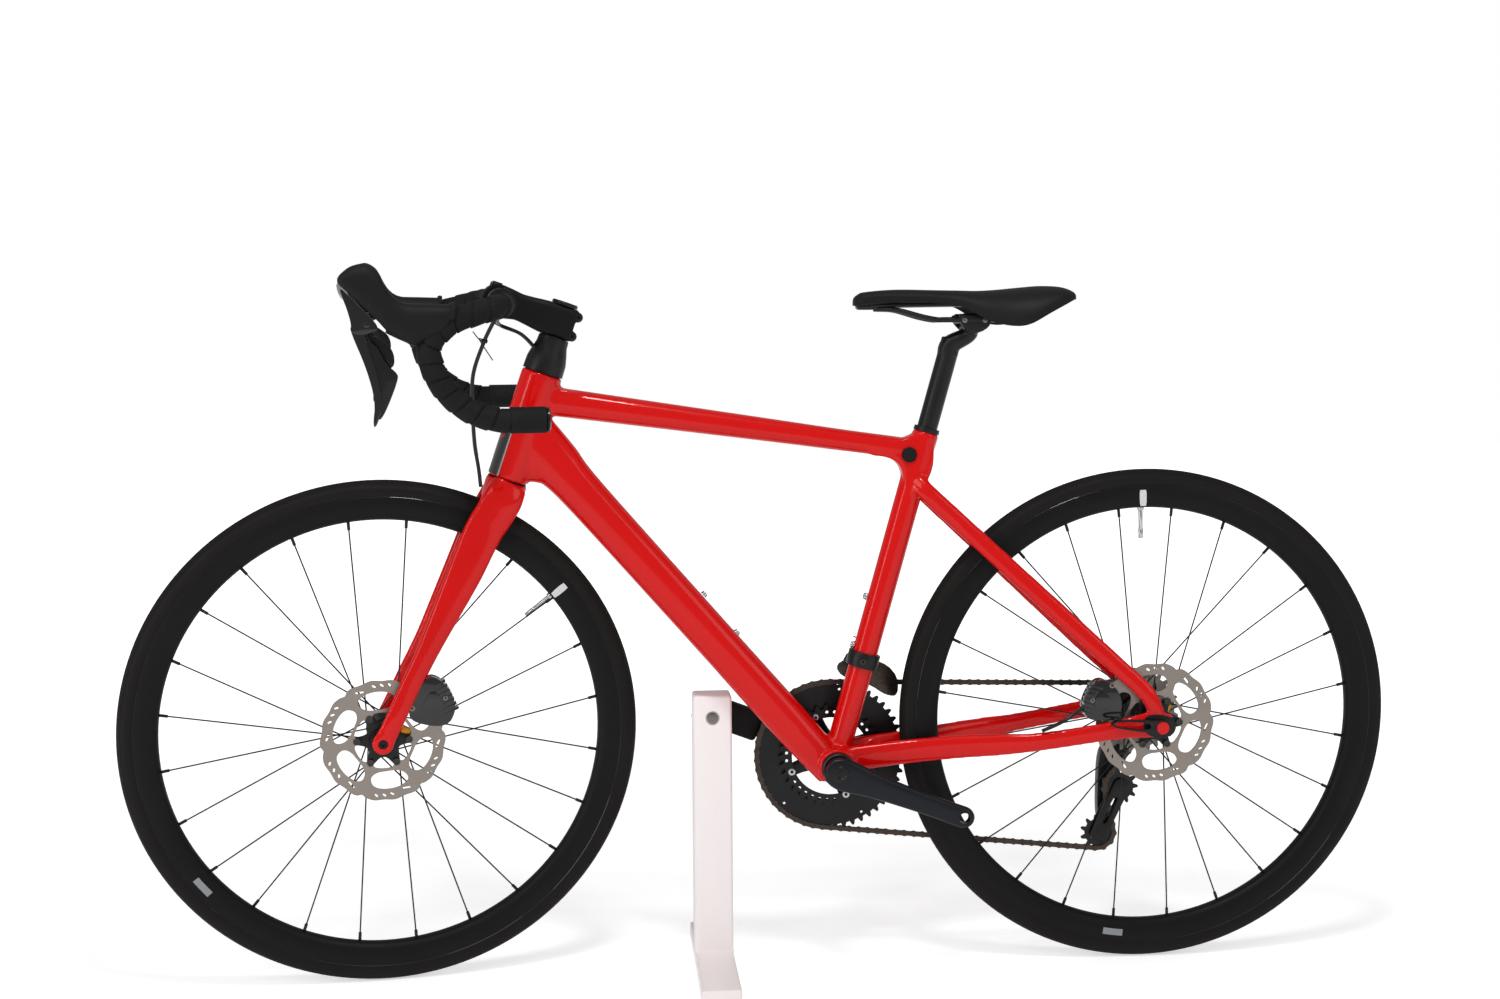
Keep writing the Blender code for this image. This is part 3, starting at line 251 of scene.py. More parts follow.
def skin(name, rings):
    """Surface through equal rings of points, closed at both ends."""
    sides = len(rings[0])
    points = [tuple(point) for ring in rings for point in ring]
    faces = []
    for r in range(len(rings) - 1):
        for i in range(sides):
            j = (i + 1) % sides
            faces.append((r * sides + i, r * sides + j, (r + 1) * sides + j, (r + 1) * sides + i))
    faces.append(tuple(range(sides)))
    faces.append(tuple(range(len(points) - sides, len(points))))
    mesh = bpy.data.meshes.new(name)
    mesh.from_pydata(points, [], faces)
    piece = bpy.data.objects.new(name, mesh)
    bpy.context.scene.collection.objects.link(piece)
    return tidy_shell(piece)


def section(half_depth, half_width, sides, power):
    """Rounded section: an ellipse at power 2, squarer as the power grows."""
    points = []
    for i in range(sides):
        c, s = math.cos(math.tau * i / sides), math.sin(math.tau * i / sides)
        points.append(Vector((math.copysign(abs(c) ** (2 / power), c) * half_depth,
                              math.copysign(abs(s) ** (2 / power), s) * half_width, 0.0)))
    return points


def loft(name, stations, sides=32, power=2.0, steps=6, facing=None):
    """Tube through stations (x, y, z, half depth, half width); all sections may face one way."""
    rows = through(stations, steps)
    rings = []
    for i, row in enumerate(rows):
        centre, depth, width = Vector(row[:3]), float(row[3]), float(row[4])
        tangent = facing or Vector(rows[min(i + 1, len(rows) - 1)][:3] - rows[max(i - 1, 0)][:3])
        turn = aim(tangent)
        rings.append([centre + turn @ point for point in section(depth, width, sides, power)])
    return skin(name, rings)


def hose(name, points, radius, steps=8, sides=10):
    """Round hose along a smooth path."""
    rows = through(points, steps)
    rings = []
    for i, row in enumerate(rows):
        turn = aim(Vector(rows[min(i + 1, len(rows) - 1)] - rows[max(i - 1, 0)]))
        rings.append([Vector(row) + turn @ point for point in section(radius, radius, sides, 2.0)])
    return skin(name, rings)


def melt(name, pieces, voxel, rounds):
    """Weld overlapping solids into one skin and dress the welds smooth."""
    body = join(name, *pieces)
    apply(body, 'REMESH', mode='VOXEL', voxel_size=voxel)
    apply(body, 'SMOOTH', factor=0.5, iterations=rounds)
    return body


def copies(name, pattern, matrices):
    """One object of many copies of a pattern, each with its own mesh."""
    corners = np.array([vertex.co for vertex in pattern.data.vertices])
    polygons = [tuple(polygon.vertices) for polygon in pattern.data.polygons]
    points, faces = [], []
    for matrix in matrices:
        start = len(points)
        points += [tuple(matrix @ Vector(corner)) for corner in corners]
        faces += [tuple(start + i for i in polygon) for polygon in polygons]
    mesh = bpy.data.meshes.new(name)
    mesh.from_pydata(points, [], faces)
    piece = bpy.data.objects.new(name, mesh)
    bpy.context.scene.collection.objects.link(piece)
    bpy.data.objects.remove(pattern)
    return piece


def polar(centre, radius, degrees):
    """Point in X and Z at an angle round a centre."""
    angle = math.radians(degrees)
    return centre[0] + radius * math.cos(angle), centre[1] + radius * math.sin(angle)


def arc(centre, radius, start, end, count):
    """Points from one angle to another, both ends in."""
    return [polar(centre, radius, start + (end - start) * i / count) for i in range(count + 1)]


def ring(centre, radius, count=24):
    """Closed circle of points."""
    return arc(centre, radius, 0, 360 * (count - 1) / count, count - 1)


def spun(points, degrees, centre=(0, 0)):
    """The points turned round a centre."""
    angle = math.radians(degrees)
    c, s = math.cos(angle), math.sin(angle)
    return [(centre[0] + x * c - z * s, centre[1] + x * s + z * c) for x, z in points]


def about(centre, points):
    """Outline given round a centre, moved to it."""
    return [(centre.x + x, centre.z + z) for x, z in points]


def sided(rows, side):
    """Stations (x, y, z, half depth, half width) of one side from rows of (x, z, y, depth, width)."""
    return [(x, side * y, z, depth, width) for x, z, y, depth, width in rows]


def on_steerer(up, front=0.0, lateral=0.0):
    """Point given along the steerer, in front of it and across."""
    return HEAD_BOTTOM + STEER_UP * up + STEER_FRONT * front + ACROSS * lateral


def seat_axis(z):
    """Point of the seat tube's axis at a height."""
    return BB + Vector((SEAT_SLOPE, 0.0, 1.0)) * (z - BB.z)


def bolt(name, head, inwards, radius=0.004, depth=0.005, socket=0.5):
    """Cap screw: a chamfered head with a hexagonal socket, its top at the head point."""
    inwards = Vector(inwards).normalized()
    piece = rod(name, head, Vector(head) + inwards * depth, radius, 20, radius * 0.14)
    cutter = rod(name + "_socket", Vector(head) - inwards * depth, Vector(head) + inwards * depth * 0.6,
                 radius * socket, 6)
    return bore(piece, cutter)


def rounded(points, times=2):
    """Closed outline with its corners cut round."""
    for _ in range(times):
        cut = []
        for (ax, az), (bx, bz) in zip(points, points[1:] + points[:1]):
            cut += [(0.75 * ax + 0.25 * bx, 0.75 * az + 0.25 * bz),
                (0.25 * ax + 0.75 * bx, 0.25 * az + 0.75 * bz)]
        points = cut
    return points


# ---------------------------------------------------------------- finishes
def linear(code):
    """Linear colour of an sRGB hex code."""
    values = [int(code[i:i + 2], 16) / 255 for i in (0, 2, 4)]
    return tuple(v / 12.92 if v <= 0.04045 else ((v + 0.055) / 1.055) ** 2.4 for v in values) + (1.0,)


def add_node(tree, kind, settings=None, links=None, **attributes):
    """New shader node with socket values and links (socket: source output)."""
    node = tree.nodes.new(kind)
    for key, value in attributes.items():
        setattr(node, key, value)
    for key, value in (settings or {}).items():
        node.inputs[key].default_value = value
    for key, source in (links or {}).items():
        tree.links.new(source, node.inputs[key])
    return node


def surface(name, colour, roughness, metallic=0.0, coat=0.0, grain=0.001, relief=0.00002, second=None,
            spread=0.06, stretch=(1, 1, 1), **more):
    """Real finish: grain in metres gives both the mottling and the relief of the surface."""
    material = bpy.data.materials.new(name)
    material.use_nodes = True
    tree = material.node_tree
    base = tree.nodes["Principled BSDF"]
    where = add_node(tree, 'ShaderNodeTexCoord').outputs['Object']
    scaled = add_node(tree, 'ShaderNodeMapping', {'Scale': stretch}, {'Vector': where})
    noise = add_node(tree, 'ShaderNodeTexNoise', {'Scale': 1 / grain, 'Detail': 3.0, 'Roughness': 0.6},
                     {'Vector': scaled.outputs['Vector']})
    broad = add_node(tree, 'ShaderNodeTexNoise', {'Scale': 18.0, 'Detail': 2.0}, {'Vector': where})
    ramp = add_node(tree, 'ShaderNodeValToRGB', links={'Fac': noise.outputs['Fac']})
    ramp.color_ramp.elements[0].position = 0.32
    ramp.color_ramp.elements[1].position = 0.68
    ramp.color_ramp.elements[0].color = linear(second or colour)
    ramp.color_ramp.elements[1].color = linear(colour)
    rough = add_node(tree, 'ShaderNodeMapRange',
                     {'From Min': 0.3, 'From Max': 0.7, 'To Min': max(roughness - spread, 0.02),
                      'To Max': roughness + spread}, {'Value': broad.outputs['Fac']})
    bump = add_node(tree, 'ShaderNodeBump', {'Strength': 1.0, 'Distance': relief},
                    {'Height': noise.outputs['Fac']})
    tree.links.new(ramp.outputs['Color'], base.inputs['Base Color'])
    tree.links.new(rough.outputs['Result'], base.inputs['Roughness'])
    tree.links.new(bump.outputs['Normal'], base.inputs['Normal'])
    base.inputs['Metallic'].default_value = metallic
    base.inputs['Coat Weight'].default_value = coat
    base.inputs['Coat Roughness'].default_value = 0.04
    for key, value in more.items():
        base.inputs[key].default_value = value
    return material


SOFT = {"Specular IOR Level": 0.18}
# grain is in metres; blasted, brushed and moulded grains are drawn a few times coarser than real, to show
FINISHES = {
    # deep red lacquer: faint orange peel under a hard clear coat
    "red": surface("red_lacquered_aluminium", "D60504", 0.28, coat=0.45, grain=0.0025, relief=0.000006,
                   second="D00604", spread=0.03, **{"Specular IOR Level": 0.08}),
    # the same lacquer in black, on the patches of the frame
    "black_paint": surface("black_lacquer", "0C0C0E", 0.26, coat=0.9, grain=0.0025, relief=0.000006,
                           second="101013"),
    # fine bead-blasted anodised aluminium
    "satin_black": surface("black_anodised_aluminium", "0E0F11", 0.38, metallic=0.35, grain=0.0005,
                           relief=0.00001, second="0E0F11"),
    # matte black paint of the stem and rims, fine powder grain
    "powder": surface("matte_black_powder_coat", "0A0A0B", 0.50, grain=0.0008, relief=0.00002,
                      second="0B0B0C", **SOFT),
    # dark blue-grey anodised, brighter than the black
    "anthracite": surface("anthracite_anodised_aluminium", "1C1E24", 0.34, metallic=0.6, grain=0.0006,
                          relief=0.000008, second="191C23"),
    # tread: brown-black rubber with a worn, slightly dusty skin
    "tread": surface("tyre_tread_rubber", "100D0C", 0.70, grain=0.0016, relief=0.00012,
                     second="131110", **SOFT),
    # casing: smoother, a little browner
    "tyre": surface("tyre_casing_rubber", "110E0D", 0.62, grain=0.0009, relief=0.00003,
                    second="151312", **SOFT),
    # soft matte grip rubber with a fine orange-peel skin
    "rubber": surface("moulded_rubber", "131314", 0.58, grain=0.0012, relief=0.00004,
                      second="151517", **SOFT),
    # bar tape: fine-pored foam skin
    "tape": surface("foam_bar_tape", "19191B", 0.70, grain=0.0009, relief=0.00009,
                    second="0D0E0F", **SOFT),
    # saddle cover: matte synthetic leather, small pebbles
    "cover": surface("pebbled_saddle_cover", "121213", 0.56, grain=0.0011, relief=0.00007,
                     second="131315", **SOFT),
    # brushed steel: scratches drawn out along one way
    "steel": surface("brushed_steel", "8C8680", 0.32, metallic=1.0, grain=0.0007, relief=0.00001,
                     second="75706B", stretch=(1, 1, 6)),
    # ground and heat-tinted rotor steel, warmer than the screws
    "rotor": surface("ground_rotor_steel", "A0978F", 0.38, metallic=0.9, grain=0.0006, relief=0.00001,
                     second="8B837C", stretch=(3, 1, 1)),
    # chain plates, brown with old oil
    "chain_steel": surface("oiled_chain_steel", "5A4F47", 0.38, metallic=0.9, grain=0.0015,
                           relief=0.00002, second="3B332E"),
    # oxidised screws of the rotors, dark against the steel round them
    "fastener": surface("oxidised_screw_steel", "4A4744", 0.34, metallic=0.8, grain=0.0006, relief=0.00001,
                        second="3C3A38"),
    # bright anodised aluminium of the lever caps, valves and small bolts
    "silver": surface("silver_aluminium", "C9CACC", 0.24, metallic=1.0, grain=0.0006, relief=0.000006,
                      second="BDBEC1"),
    # powder-coated white post, the fine texture of baked powder
    "white_paint": surface("white_powder_coat", "FBF3F3", 0.42, coat=0.2, grain=0.0022, relief=0.00003,
                           second="F8F0F0"),
    # plain printed-film labels, without print
    "label": surface("white_label_film", "D9D9D8", 0.5, grain=0.003, relief=0.00001, second="CFCFCE"),
    "grey_label": surface("grey_label_film", "8D9094", 0.5, grain=0.003, relief=0.00001, second="84878B"),
    # smooth extruded plastic of hoses and cable casing
    "hose": surface("black_hose_plastic", "141416", 0.38, coat=0.3, grain=0.002, relief=0.000006,
                    second="101012", **SOFT),
    # lever lacquer: near-black blue with a crisp edge highlight
    "gloss": surface("polished_black_lever", "08090C", 0.26, metallic=0.0, coat=1.0, grain=0.003,
                     relief=0.000004, second="090A0D", **SOFT),
    # amber anodised pad carrier
    "amber": surface("amber_anodised_pad_plate", "C88A2C", 0.35, metallic=0.9, grain=0.001,
                     relief=0.00001, second="B87C24"),
}
# bodies whose pieces turn with the steering and are parked with it
STEERED = {"fork", "front_wheel"} | {part + side for side in ("_left", "_right")
                                     for part in ("lever_carrier", "brake_blade", "shift_paddle")}


def finished(piece, body, look, *nodes, smooth=32):
    """Shade a piece, give it its finish, park it with the steering and set it riding."""
    if body in STEERED:
        place(piece, PARKED)
    take(piece)
    bpy.ops.object.shade_smooth_by_angle(angle=math.radians(smooth))
    piece.data.materials.clear()
    piece.data.materials.append(FINISHES[look])
    rest_all()
    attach(piece, body)
    if nodes:
        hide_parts(*nodes)
    return piece


# ---------------------------------------------------------------- frame
def build_frame():
    head = rod("head_tube", on_steerer(0), on_steerer(HEAD_LENGTH), HEAD_RADIUS, 64, 0.002)
    top = loft("top", [(-.2450, 0, .7730, .0198, .0190), (-.225, 0, .7705, .0195, .0190),
                       (-.190, 0, .7655, .0190, .0185), (.0655, 0, .7290, .0155, .0165),
                       (.1715, 0, .7135, .0143, .0160), (.235, 0, .7045, .0142, .0158),
                       (.283, 0, .6975, .0142, .0155)], 40, 2.3)
    down = loft("down", [(-.2520, 0, .7420, .0330, .0220), (-.2390, 0, .7270, .0350, .0225),
                         (-.2025, 0, .6861, .0325, .0230), (-.1632, 0, .6408, .0280, .0235),
                         (-.0056, 0, .4598, .0270, .0240), (.0994, 0, .3391, .0270, .0255),
                         (.1600, 0, .2700, .0240, .0300)], 40, 2.5)
    seat = rod("seat", seat_axis(.280), seat_axis(.7235), .0172, 48, 0.0015)
    collar = rod("collar", seat_axis(.7000), seat_axis(.7210), .0170, 48, 0, .0176)
    shell = rod("shell", BB - ACROSS * .0342, BB + ACROSS * .0342, .0248, 64, 0.0012)
    gusset = loft("gusset", [(-.262, 0, .700, .030, .0200), (-.232, 0, .688, .027, .0190),
                             (-.205, 0, .672, .016, .0170)], 32, 2.2)
    web = plate("web", [rounded([(.2050, .7180), (.2500, .7130), (.2640, .7180), (.2740, .7225),
        (.2960, .7180), (.2960, .6700), (.2760, .6460), (.2560, .6500), (.2545, .6680), (.2480, .6830),
        (.2320, .6910), (.2050, .6930)], 3)], 0, .0300, .0090, 5)
    brow = plate("brow", [rounded([(-.2450, .8010), (-.2160, .8010), (-.2110, .7910), (-.2010, .7850),
                                   (-.1700, .7790), (-.1700, .7600), (-.2300, .7450), (-.2450, .7500)], 3)],
                 0, .0330, .0100, 5)
    pieces = [head, top, down, seat, collar, shell, gusset, web, brow]
    chainstay = ((.1700, .2870, .0230, .0172, .0085), (.2175, .2930, .0255, .0170, .0075),
                 (.2720, .2990, .0285, .0165, .0070), (.3300, .3055, .0405, .0160, .0068),
                 (.3765, .3095, .0530, .0150, .0066), (.4305, .3150, .0655, .0125, .0062),
                 (.5250, .3290, .0735, .0130, .0055), (.5660, .3350, .0753, .0175, .0042),
                 (.6040, .3350, .0753, .0165, .0042))
    seatstay = ((.2740, .6560, .0130, .0125, .0080), (.2840, .6445, .0205, .0122, .0072),
                (.3055, .6242, .0235, .0125, .0068), (.3555, .5777, .0290, .0125, .0065),
                (.4855, .4567, .0575, .0125, .0062), (.5305, .4148, .0660, .0125, .0060),
                (.5700, .3770, .0735, .0120, .0052), (.5840, .3480, .0753, .0110, .0044))
    for side in (-1, 1):
        pieces.append(loft("chainstay", sided(chainstay, side), 28, 2.4))
        pieces.append(loft("seatstay", sided(seatstay, side), 28, 2.3))
    bridge = rod("bridge", (.4020, -.040, .5330), (.4020, .040, .5330), .0065, 20)
    stay_bridge = rod("stay_bridge", (.2180, -.027, .2930), (.2180, .027, .2930), .0090, 20)
    body = melt("frame_tubes", pieces + [bridge, stay_bridge], 0.0023, 12)
    bore(body,
         rod("seat_bore", seat_axis(.412), seat_axis(.760), .0138, 48),
         rod("head_bore", on_steerer(-.01), on_steerer(HEAD_LENGTH + .01), .0165, 48),
         rod("bb_bore", BB - ACROSS * .06, BB + ACROSS * .06, .0205, 48),
         rod("axle_bore", REAR_AXLE - ACROSS * .1, REAR_AXLE + ACROSS * .1, .0063, 32),
         rod("tyre_room", (.2250 + .034, -.020, .2965), (.2250 + .034, .020, .2965), .012, 32),
         solver='MANIFOLD')
    finished(body, "frame", "red", "head_tube", "top_tube", "down_tube", "seat_tube",
             "bottom_bracket_shell", "chainstay_left", "chainstay_right", "seatstay_left",
             "seatstay_right", smooth=45)

    clamp = turned("seat_clamp_ring", [(.0140, 0), (.0140, .0062), (.0162, .0062), (.0170, .0056),
                                       (.0174, .0010), (.0172, 0)], seat_axis(.7225), 64, SEAT_UP)
    finished(clamp, "frame", "satin_black")
    cover = turned("clamp_bolt_plug", [(0, 0), (.0100, 0), (.0100, .0060), (.0088, .0078), (.0050, .0088),
        (0, .0090)], (.2620, -.0115, .6935), 48, -ACROSS)
    finished(cover, "frame", "rubber")
    for name, x, z, away in (("down_tube_boss_upper", -.0095, .5110, (.755, 0, .656)),
                             ("down_tube_boss_lower", .0335, .4590, (.755, 0, .656)),
                             ("seat_tube_boss_upper", .2045, .5040, (-.963, 0, .268)),
                             ("seat_tube_boss_lower", .1875, .4390, (-.963, 0, .268))):
        away = Vector(away)
        foot = Vector((x, 0, z)) - away * .004
        collar = rod(name + "_collar", foot + away * .0012, foot + away * .0030, .0052, 24, .0005)
        screw = bolt(name, foot + away * .0058, -away, .0042, .0034)
        finished(join(name, collar, screw), "frame", "silver")
    rings = [turned("bearing_cup", [(.0120, .0340), (.0120, .0440), (.0190, .0445), (.0212, .0430),
                                    (.0217, .0348), (.0205, .0340)], BB, 64, ACROSS * side)
             for side in (-1, 1)]
    finished(join("bottom_bracket_cups", *rings), "frame", "satin_black")
    gaps = [turned("bearing_seat", [(.0170, -.0001), (.0170, -.0008), (.0262, -.0008), (.0262, -.0001)],
                   on_steerer(0), 64, STEER_UP),
            turned("bearing_seat", [(.0170, HEAD_LENGTH + .0001), (.0170, HEAD_LENGTH + .0012),
                                    (.0268, HEAD_LENGTH + .0012), (.0268, HEAD_LENGTH + .0001)],
                   on_steerer(0), 64, STEER_UP)]
    finished(join("headset_seats", *gaps), "frame", "satin_black")
    patch = turned("head_tube_patch", [(HEAD_RADIUS - .0004, .003), (HEAD_RADIUS - .0004, .062),
                                       (HEAD_RADIUS + .0003, .062), (HEAD_RADIUS + .0003, .003)],
                   on_steerer(0), 96, STEER_UP)
    side_cut = block("patch_cut", on_steerer(.03, -.0225), (.070, .2, .2), .001,
        math.radians(-71) + math.pi / 2)
    finished(bore(patch, side_cut), "frame", "black_paint")
    hangers = []
    for side in (-1, 1):
        hangers.append(plate("dropout", [rounded([(.5680, .3520), (.6050, .3480), (.6090, .3300),
                                                  (.5990, .3190), (.5720, .3200), (.5620, .3350)], 2),
                                         ring((.5861, .335), .0064)], side * .0793, .0016, .0004))
    finished(join("dropout_faces", *hangers), "frame", "satin_black")


# ---------------------------------------------------------------- fork and steering
def build_fork():
    crown = loft("crown", [(*on_steerer(-.0010), .0268, .0268), (*on_steerer(-.010), .0275, .0305),
                           (*on_steerer(-.030), .0260, .0370)], 40, 2.3, 6, -STEER_UP)
    pieces = [crown]
    blade = ((-.2640, .6620, .0200, .0225, .0105), (-.2740, .6450, .0255, .0262, .0112),
             (-.2860, .6250, .0285, .0260, .0096), (-.3023, .6000, .0305, .0252, .0092),
             (-.3258, .5500, .0360, .0228, .0088), (-.3510, .5000, .0412, .0185, .0084),
             (-.3763, .4500, .0463, .0145, .0078), (-.4022, .4000, .0508, .0135, .0070),
             (-.4205, .3630, .0562, .0130, .0055), (-.4351, .3350, .0565, .0135, .0055))
    for side in (-1, 1):
        pieces.append(loft("blade", sided(blade, side), 32, 2.4))
        pieces.append(rod("tip", FRONT_AXLE + ACROSS * (side * .0508), FRONT_AXLE + ACROSS * (side * .0622),
                          .0140, 48, .0012))
    body = melt("fork", pieces, 0.0017, 16)
    bore(body, rod("axle_bore", FRONT_AXLE - ACROSS * .1, FRONT_AXLE + ACROSS * .1, .0062, 32),
         solver='MANIFOLD')
    finished(body, "fork", "red", "fork_crown", "fork_blade_left", "fork_blade_right", smooth=45)
    steerer = rod("steerer", on_steerer(-.012), on_steerer(STEM_HEIGHT + .012), .0140, 40, .0006)
    finished(steerer, "fork", "satin_black")
    cover = turned("headset_cover", [(.0145, .1490), (.0266, .1490), (.0266, .1525), (.0262, .1640),
                                     (.0236, .1750), (.0205, .1860), (.0200, .1945), (.0145, .1945)],
                   on_steerer(0), 64, STEER_UP)
    nose = loft("cover_port", [(*on_steerer(.150, .010), .004, .012), (*on_steerer(.158, .016), .010, .014),
        (*on_steerer(.176, .014), .008, .013), (*on_steerer(.190, .009), .004, .011)], 28, 2.6)
    finished(join("headset_cover", cover, nose), "fork", "satin_black", "headset_cover")
    tip = FRONT_AXLE
    skewer = [rod("axle", tip - ACROSS * .0612, tip + ACROSS * .0630, .0059, 32, .0006),
              turned("axle_nut", [(.0, .0600), (.0, .0635), (.0080, .0640), (.0090, .0628), (.0092, .0600)],
                     tip, 48, ACROSS)]
    hexagon = rod("hex", tip - ACROSS * .07, tip - ACROSS * .058, .0035, 6)
    skewer = bore(join("front_axle", *skewer), hexagon)
    finished(skewer, "fork", "satin_black", "front_axle")


def build_stem_and_bar():
    rows = ((-.0190, .0195, -.0205, .0150), (-.0150, .0210, -.0220, .0180), (.0185, .0210, -.0220, .0190),
            (.0400, .0190, -.0190, .0180), (.0560, .0182, -.0172, .0178), (.0700, .0200, -.0200, .0190),
            (.0840, .0212, -.0212, .0190))
    stem = loft("stem", [(*on_steerer(STEM_HEIGHT + (t + b) / 2, f), (t - b) / 2, w)
                         for f, t, b, w in rows], 48, 5.0, 5, STEER_FRONT)
    lugs = [rod("lug", on_steerer(STEM_HEIGHT + up, -.0200, -.0155),
        on_steerer(STEM_HEIGHT + up, -.0200, .0155), .0066, 32, .0008) for up in (-.0140, .0119)]
    stem = melt("stem", [stem] + lugs, .0011, 3)
    slit = block("slit", on_steerer(STEM_HEIGHT, -.030), (.030, .0016, .060), .0002,
                 math.radians(-19))
    bar = on_steerer(STEM_HEIGHT, STEM_REACH)
    stem = bore(stem, rod("bar_room", bar - ACROSS * .05, bar + ACROSS * .05, .0161, 64), slit,
                solver='MANIFOLD')
    finished(stem, "fork", "powder", "stem", smooth=40)
    face = turned("stem_faceplate", [(.0161, -.0190), (.0161, .0190), (.0202, .0190), (.0212, .0180),
                                     (.0212, -.0180), (.0202, -.0190)], bar, 96, ACROSS)
    back = block("face_cut", bar - STEER_FRONT * .0985, (.2, .2, .2), .001, math.radians(19))
    window = block("face_window", bar + STEER_FRONT * .022, (.012, .016, .016), .002, math.radians(19))
    face = bore(face, back, window)
    ears, screws = [], []
    for up in (-.0172, .0172):
        for lateral in (-.0125, .0125):
            top = on_steerer(STEM_HEIGHT + up, STEM_REACH + .0130, lateral)
            ears.append(rod("ear", top - STEER_FRONT * .012, top, .0052, 24, .0010))
            screws.append(bolt("face_bolt", top + STEER_FRONT * .0018, -STEER_FRONT, .0036, .004))
    finished(join("stem_faceplate", face, *ears), "fork", "powder", "stem_faceplate")
    for up in (-.0140, .0119):
        screws.append(bolt("pinch_bolt", on_steerer(STEM_HEIGHT + up, -.0202, -.0180), ACROSS, .0048, .004))
        screws.append(bolt("pinch_nut", on_steerer(STEM_HEIGHT + up, -.0202, .0180), -ACROSS, .0048, .004))
    finished(join("stem_bolts", *screws), "fork", "anthracite")
    cap = turned("stem_cap", [(.0, .0), (.0170, .0), (.0172, .0030), (.0160, .0046), (.0060, .0050),
                              (.0052, .0036), (.0, .0036)], on_steerer(STEM_HEIGHT + .0212), 64, STEER_UP)
    ring_below = turned("stem_spacer", [(.0142, 0), (.0190, 0), (.0193, .0003), (.0193, .0013),
        (.0142, .0013)], on_steerer(.1946), 64, STEER_UP)
    finished(join("stem_cap", cap, ring_below), "fork", "satin_black")

    core = rod("handlebar", bar - ACROSS * .047, bar + ACROSS * .047, BAR_RADIUS, 64, .0004)
    for side in (-1, 1):
        path = [(bar.x, .040, bar.z), (bar.x, .045, bar.z), (bar.x, .090, bar.z),
                (bar.x - .002, .150, bar.z - .002), (bar.x - .012, .185, bar.z - .004),
                (-.3150, .2010, .8880), (-.3450, BAR_HALF, .8770), (-.3690, BAR_HALF, .8520),
                (-.3655, BAR_HALF, .8220), (-.3480, BAR_HALF, .7930), (-.3200, BAR_HALF, .7710),
                (-.2850, BAR_HALF, .7610), (DROP_END.x, BAR_HALF, DROP_END.z)]
        rows = through([(x, side * y, z) for x, y, z in path], 40)
        lengths = np.concatenate([[0], np.cumsum(np.linalg.norm(np.diff(rows, axis=0), axis=1))])
        even = [0.006 + .0014 * k for k in range(int((lengths[-1] - .008) / .0014))]
        rows = np.stack([np.interp(even, lengths, rows[:, k]) for k in range(3)], axis=1)
        rings, sides = [], 28
        for i, row in enumerate(rows):
            tangent = Vector(rows[min(i + 1, len(rows) - 1)] - rows[max(i - 1, 0)])
            if i == 0:
                reference = aim(tangent, Vector((0, 0, 1))).col[0].to_3d()
            z = tangent.normalized()
            reference = (reference - z * reference.dot(z)).normalized()
            other = z.cross(reference)
            points = []
            for k in range(sides):
                angle = math.tau * k / sides
                wrap = ((even[i] + TAPE_PITCH * k / sides) / TAPE_PITCH) % 1.0
                radius = TAPE_RADIUS + (.0013 * wrap - .0004 if wrap < .90 else -.0016)
                if even[i] < .030:
                    radius = max(radius, .0162)
                outwards = reference * math.cos(angle) + other * math.sin(angle)
                points.append(Vector(row) + radius * outwards)
            rings.append(points)
        name = "left" if side < 0 else "right"
        finished(skin("bar_tape_" + name, rings), "fork", "tape", smooth=60)
        band = rod("tape_end_band_" + name, bar + ACROSS * (side * .050), bar + ACROSS * (side * .066),
            .0166, 40, .0004)
        finished(band, "fork", "hose")
        end = DROP_END + ACROSS * (side * BAR_HALF)
        sleeve = rod("bar_end_sleeve_" + name, end - Vector((.0440, 0, 0)), end - Vector((.0015, 0, 0)),
                     .0160, 40, .0006)
        finished(sleeve, "fork", "tape")
        plug = turned("bar_plug_" + name, [(0, -.004), (.0115, -.004), (.0150, .0), (.0150, .0022),
                                           (.0110, .0040), (0, .0046)], end, 40, (1, 0, 0))
        finished(plug, "fork", "hose")
    finished(core, "fork", "satin_black", "handlebar")


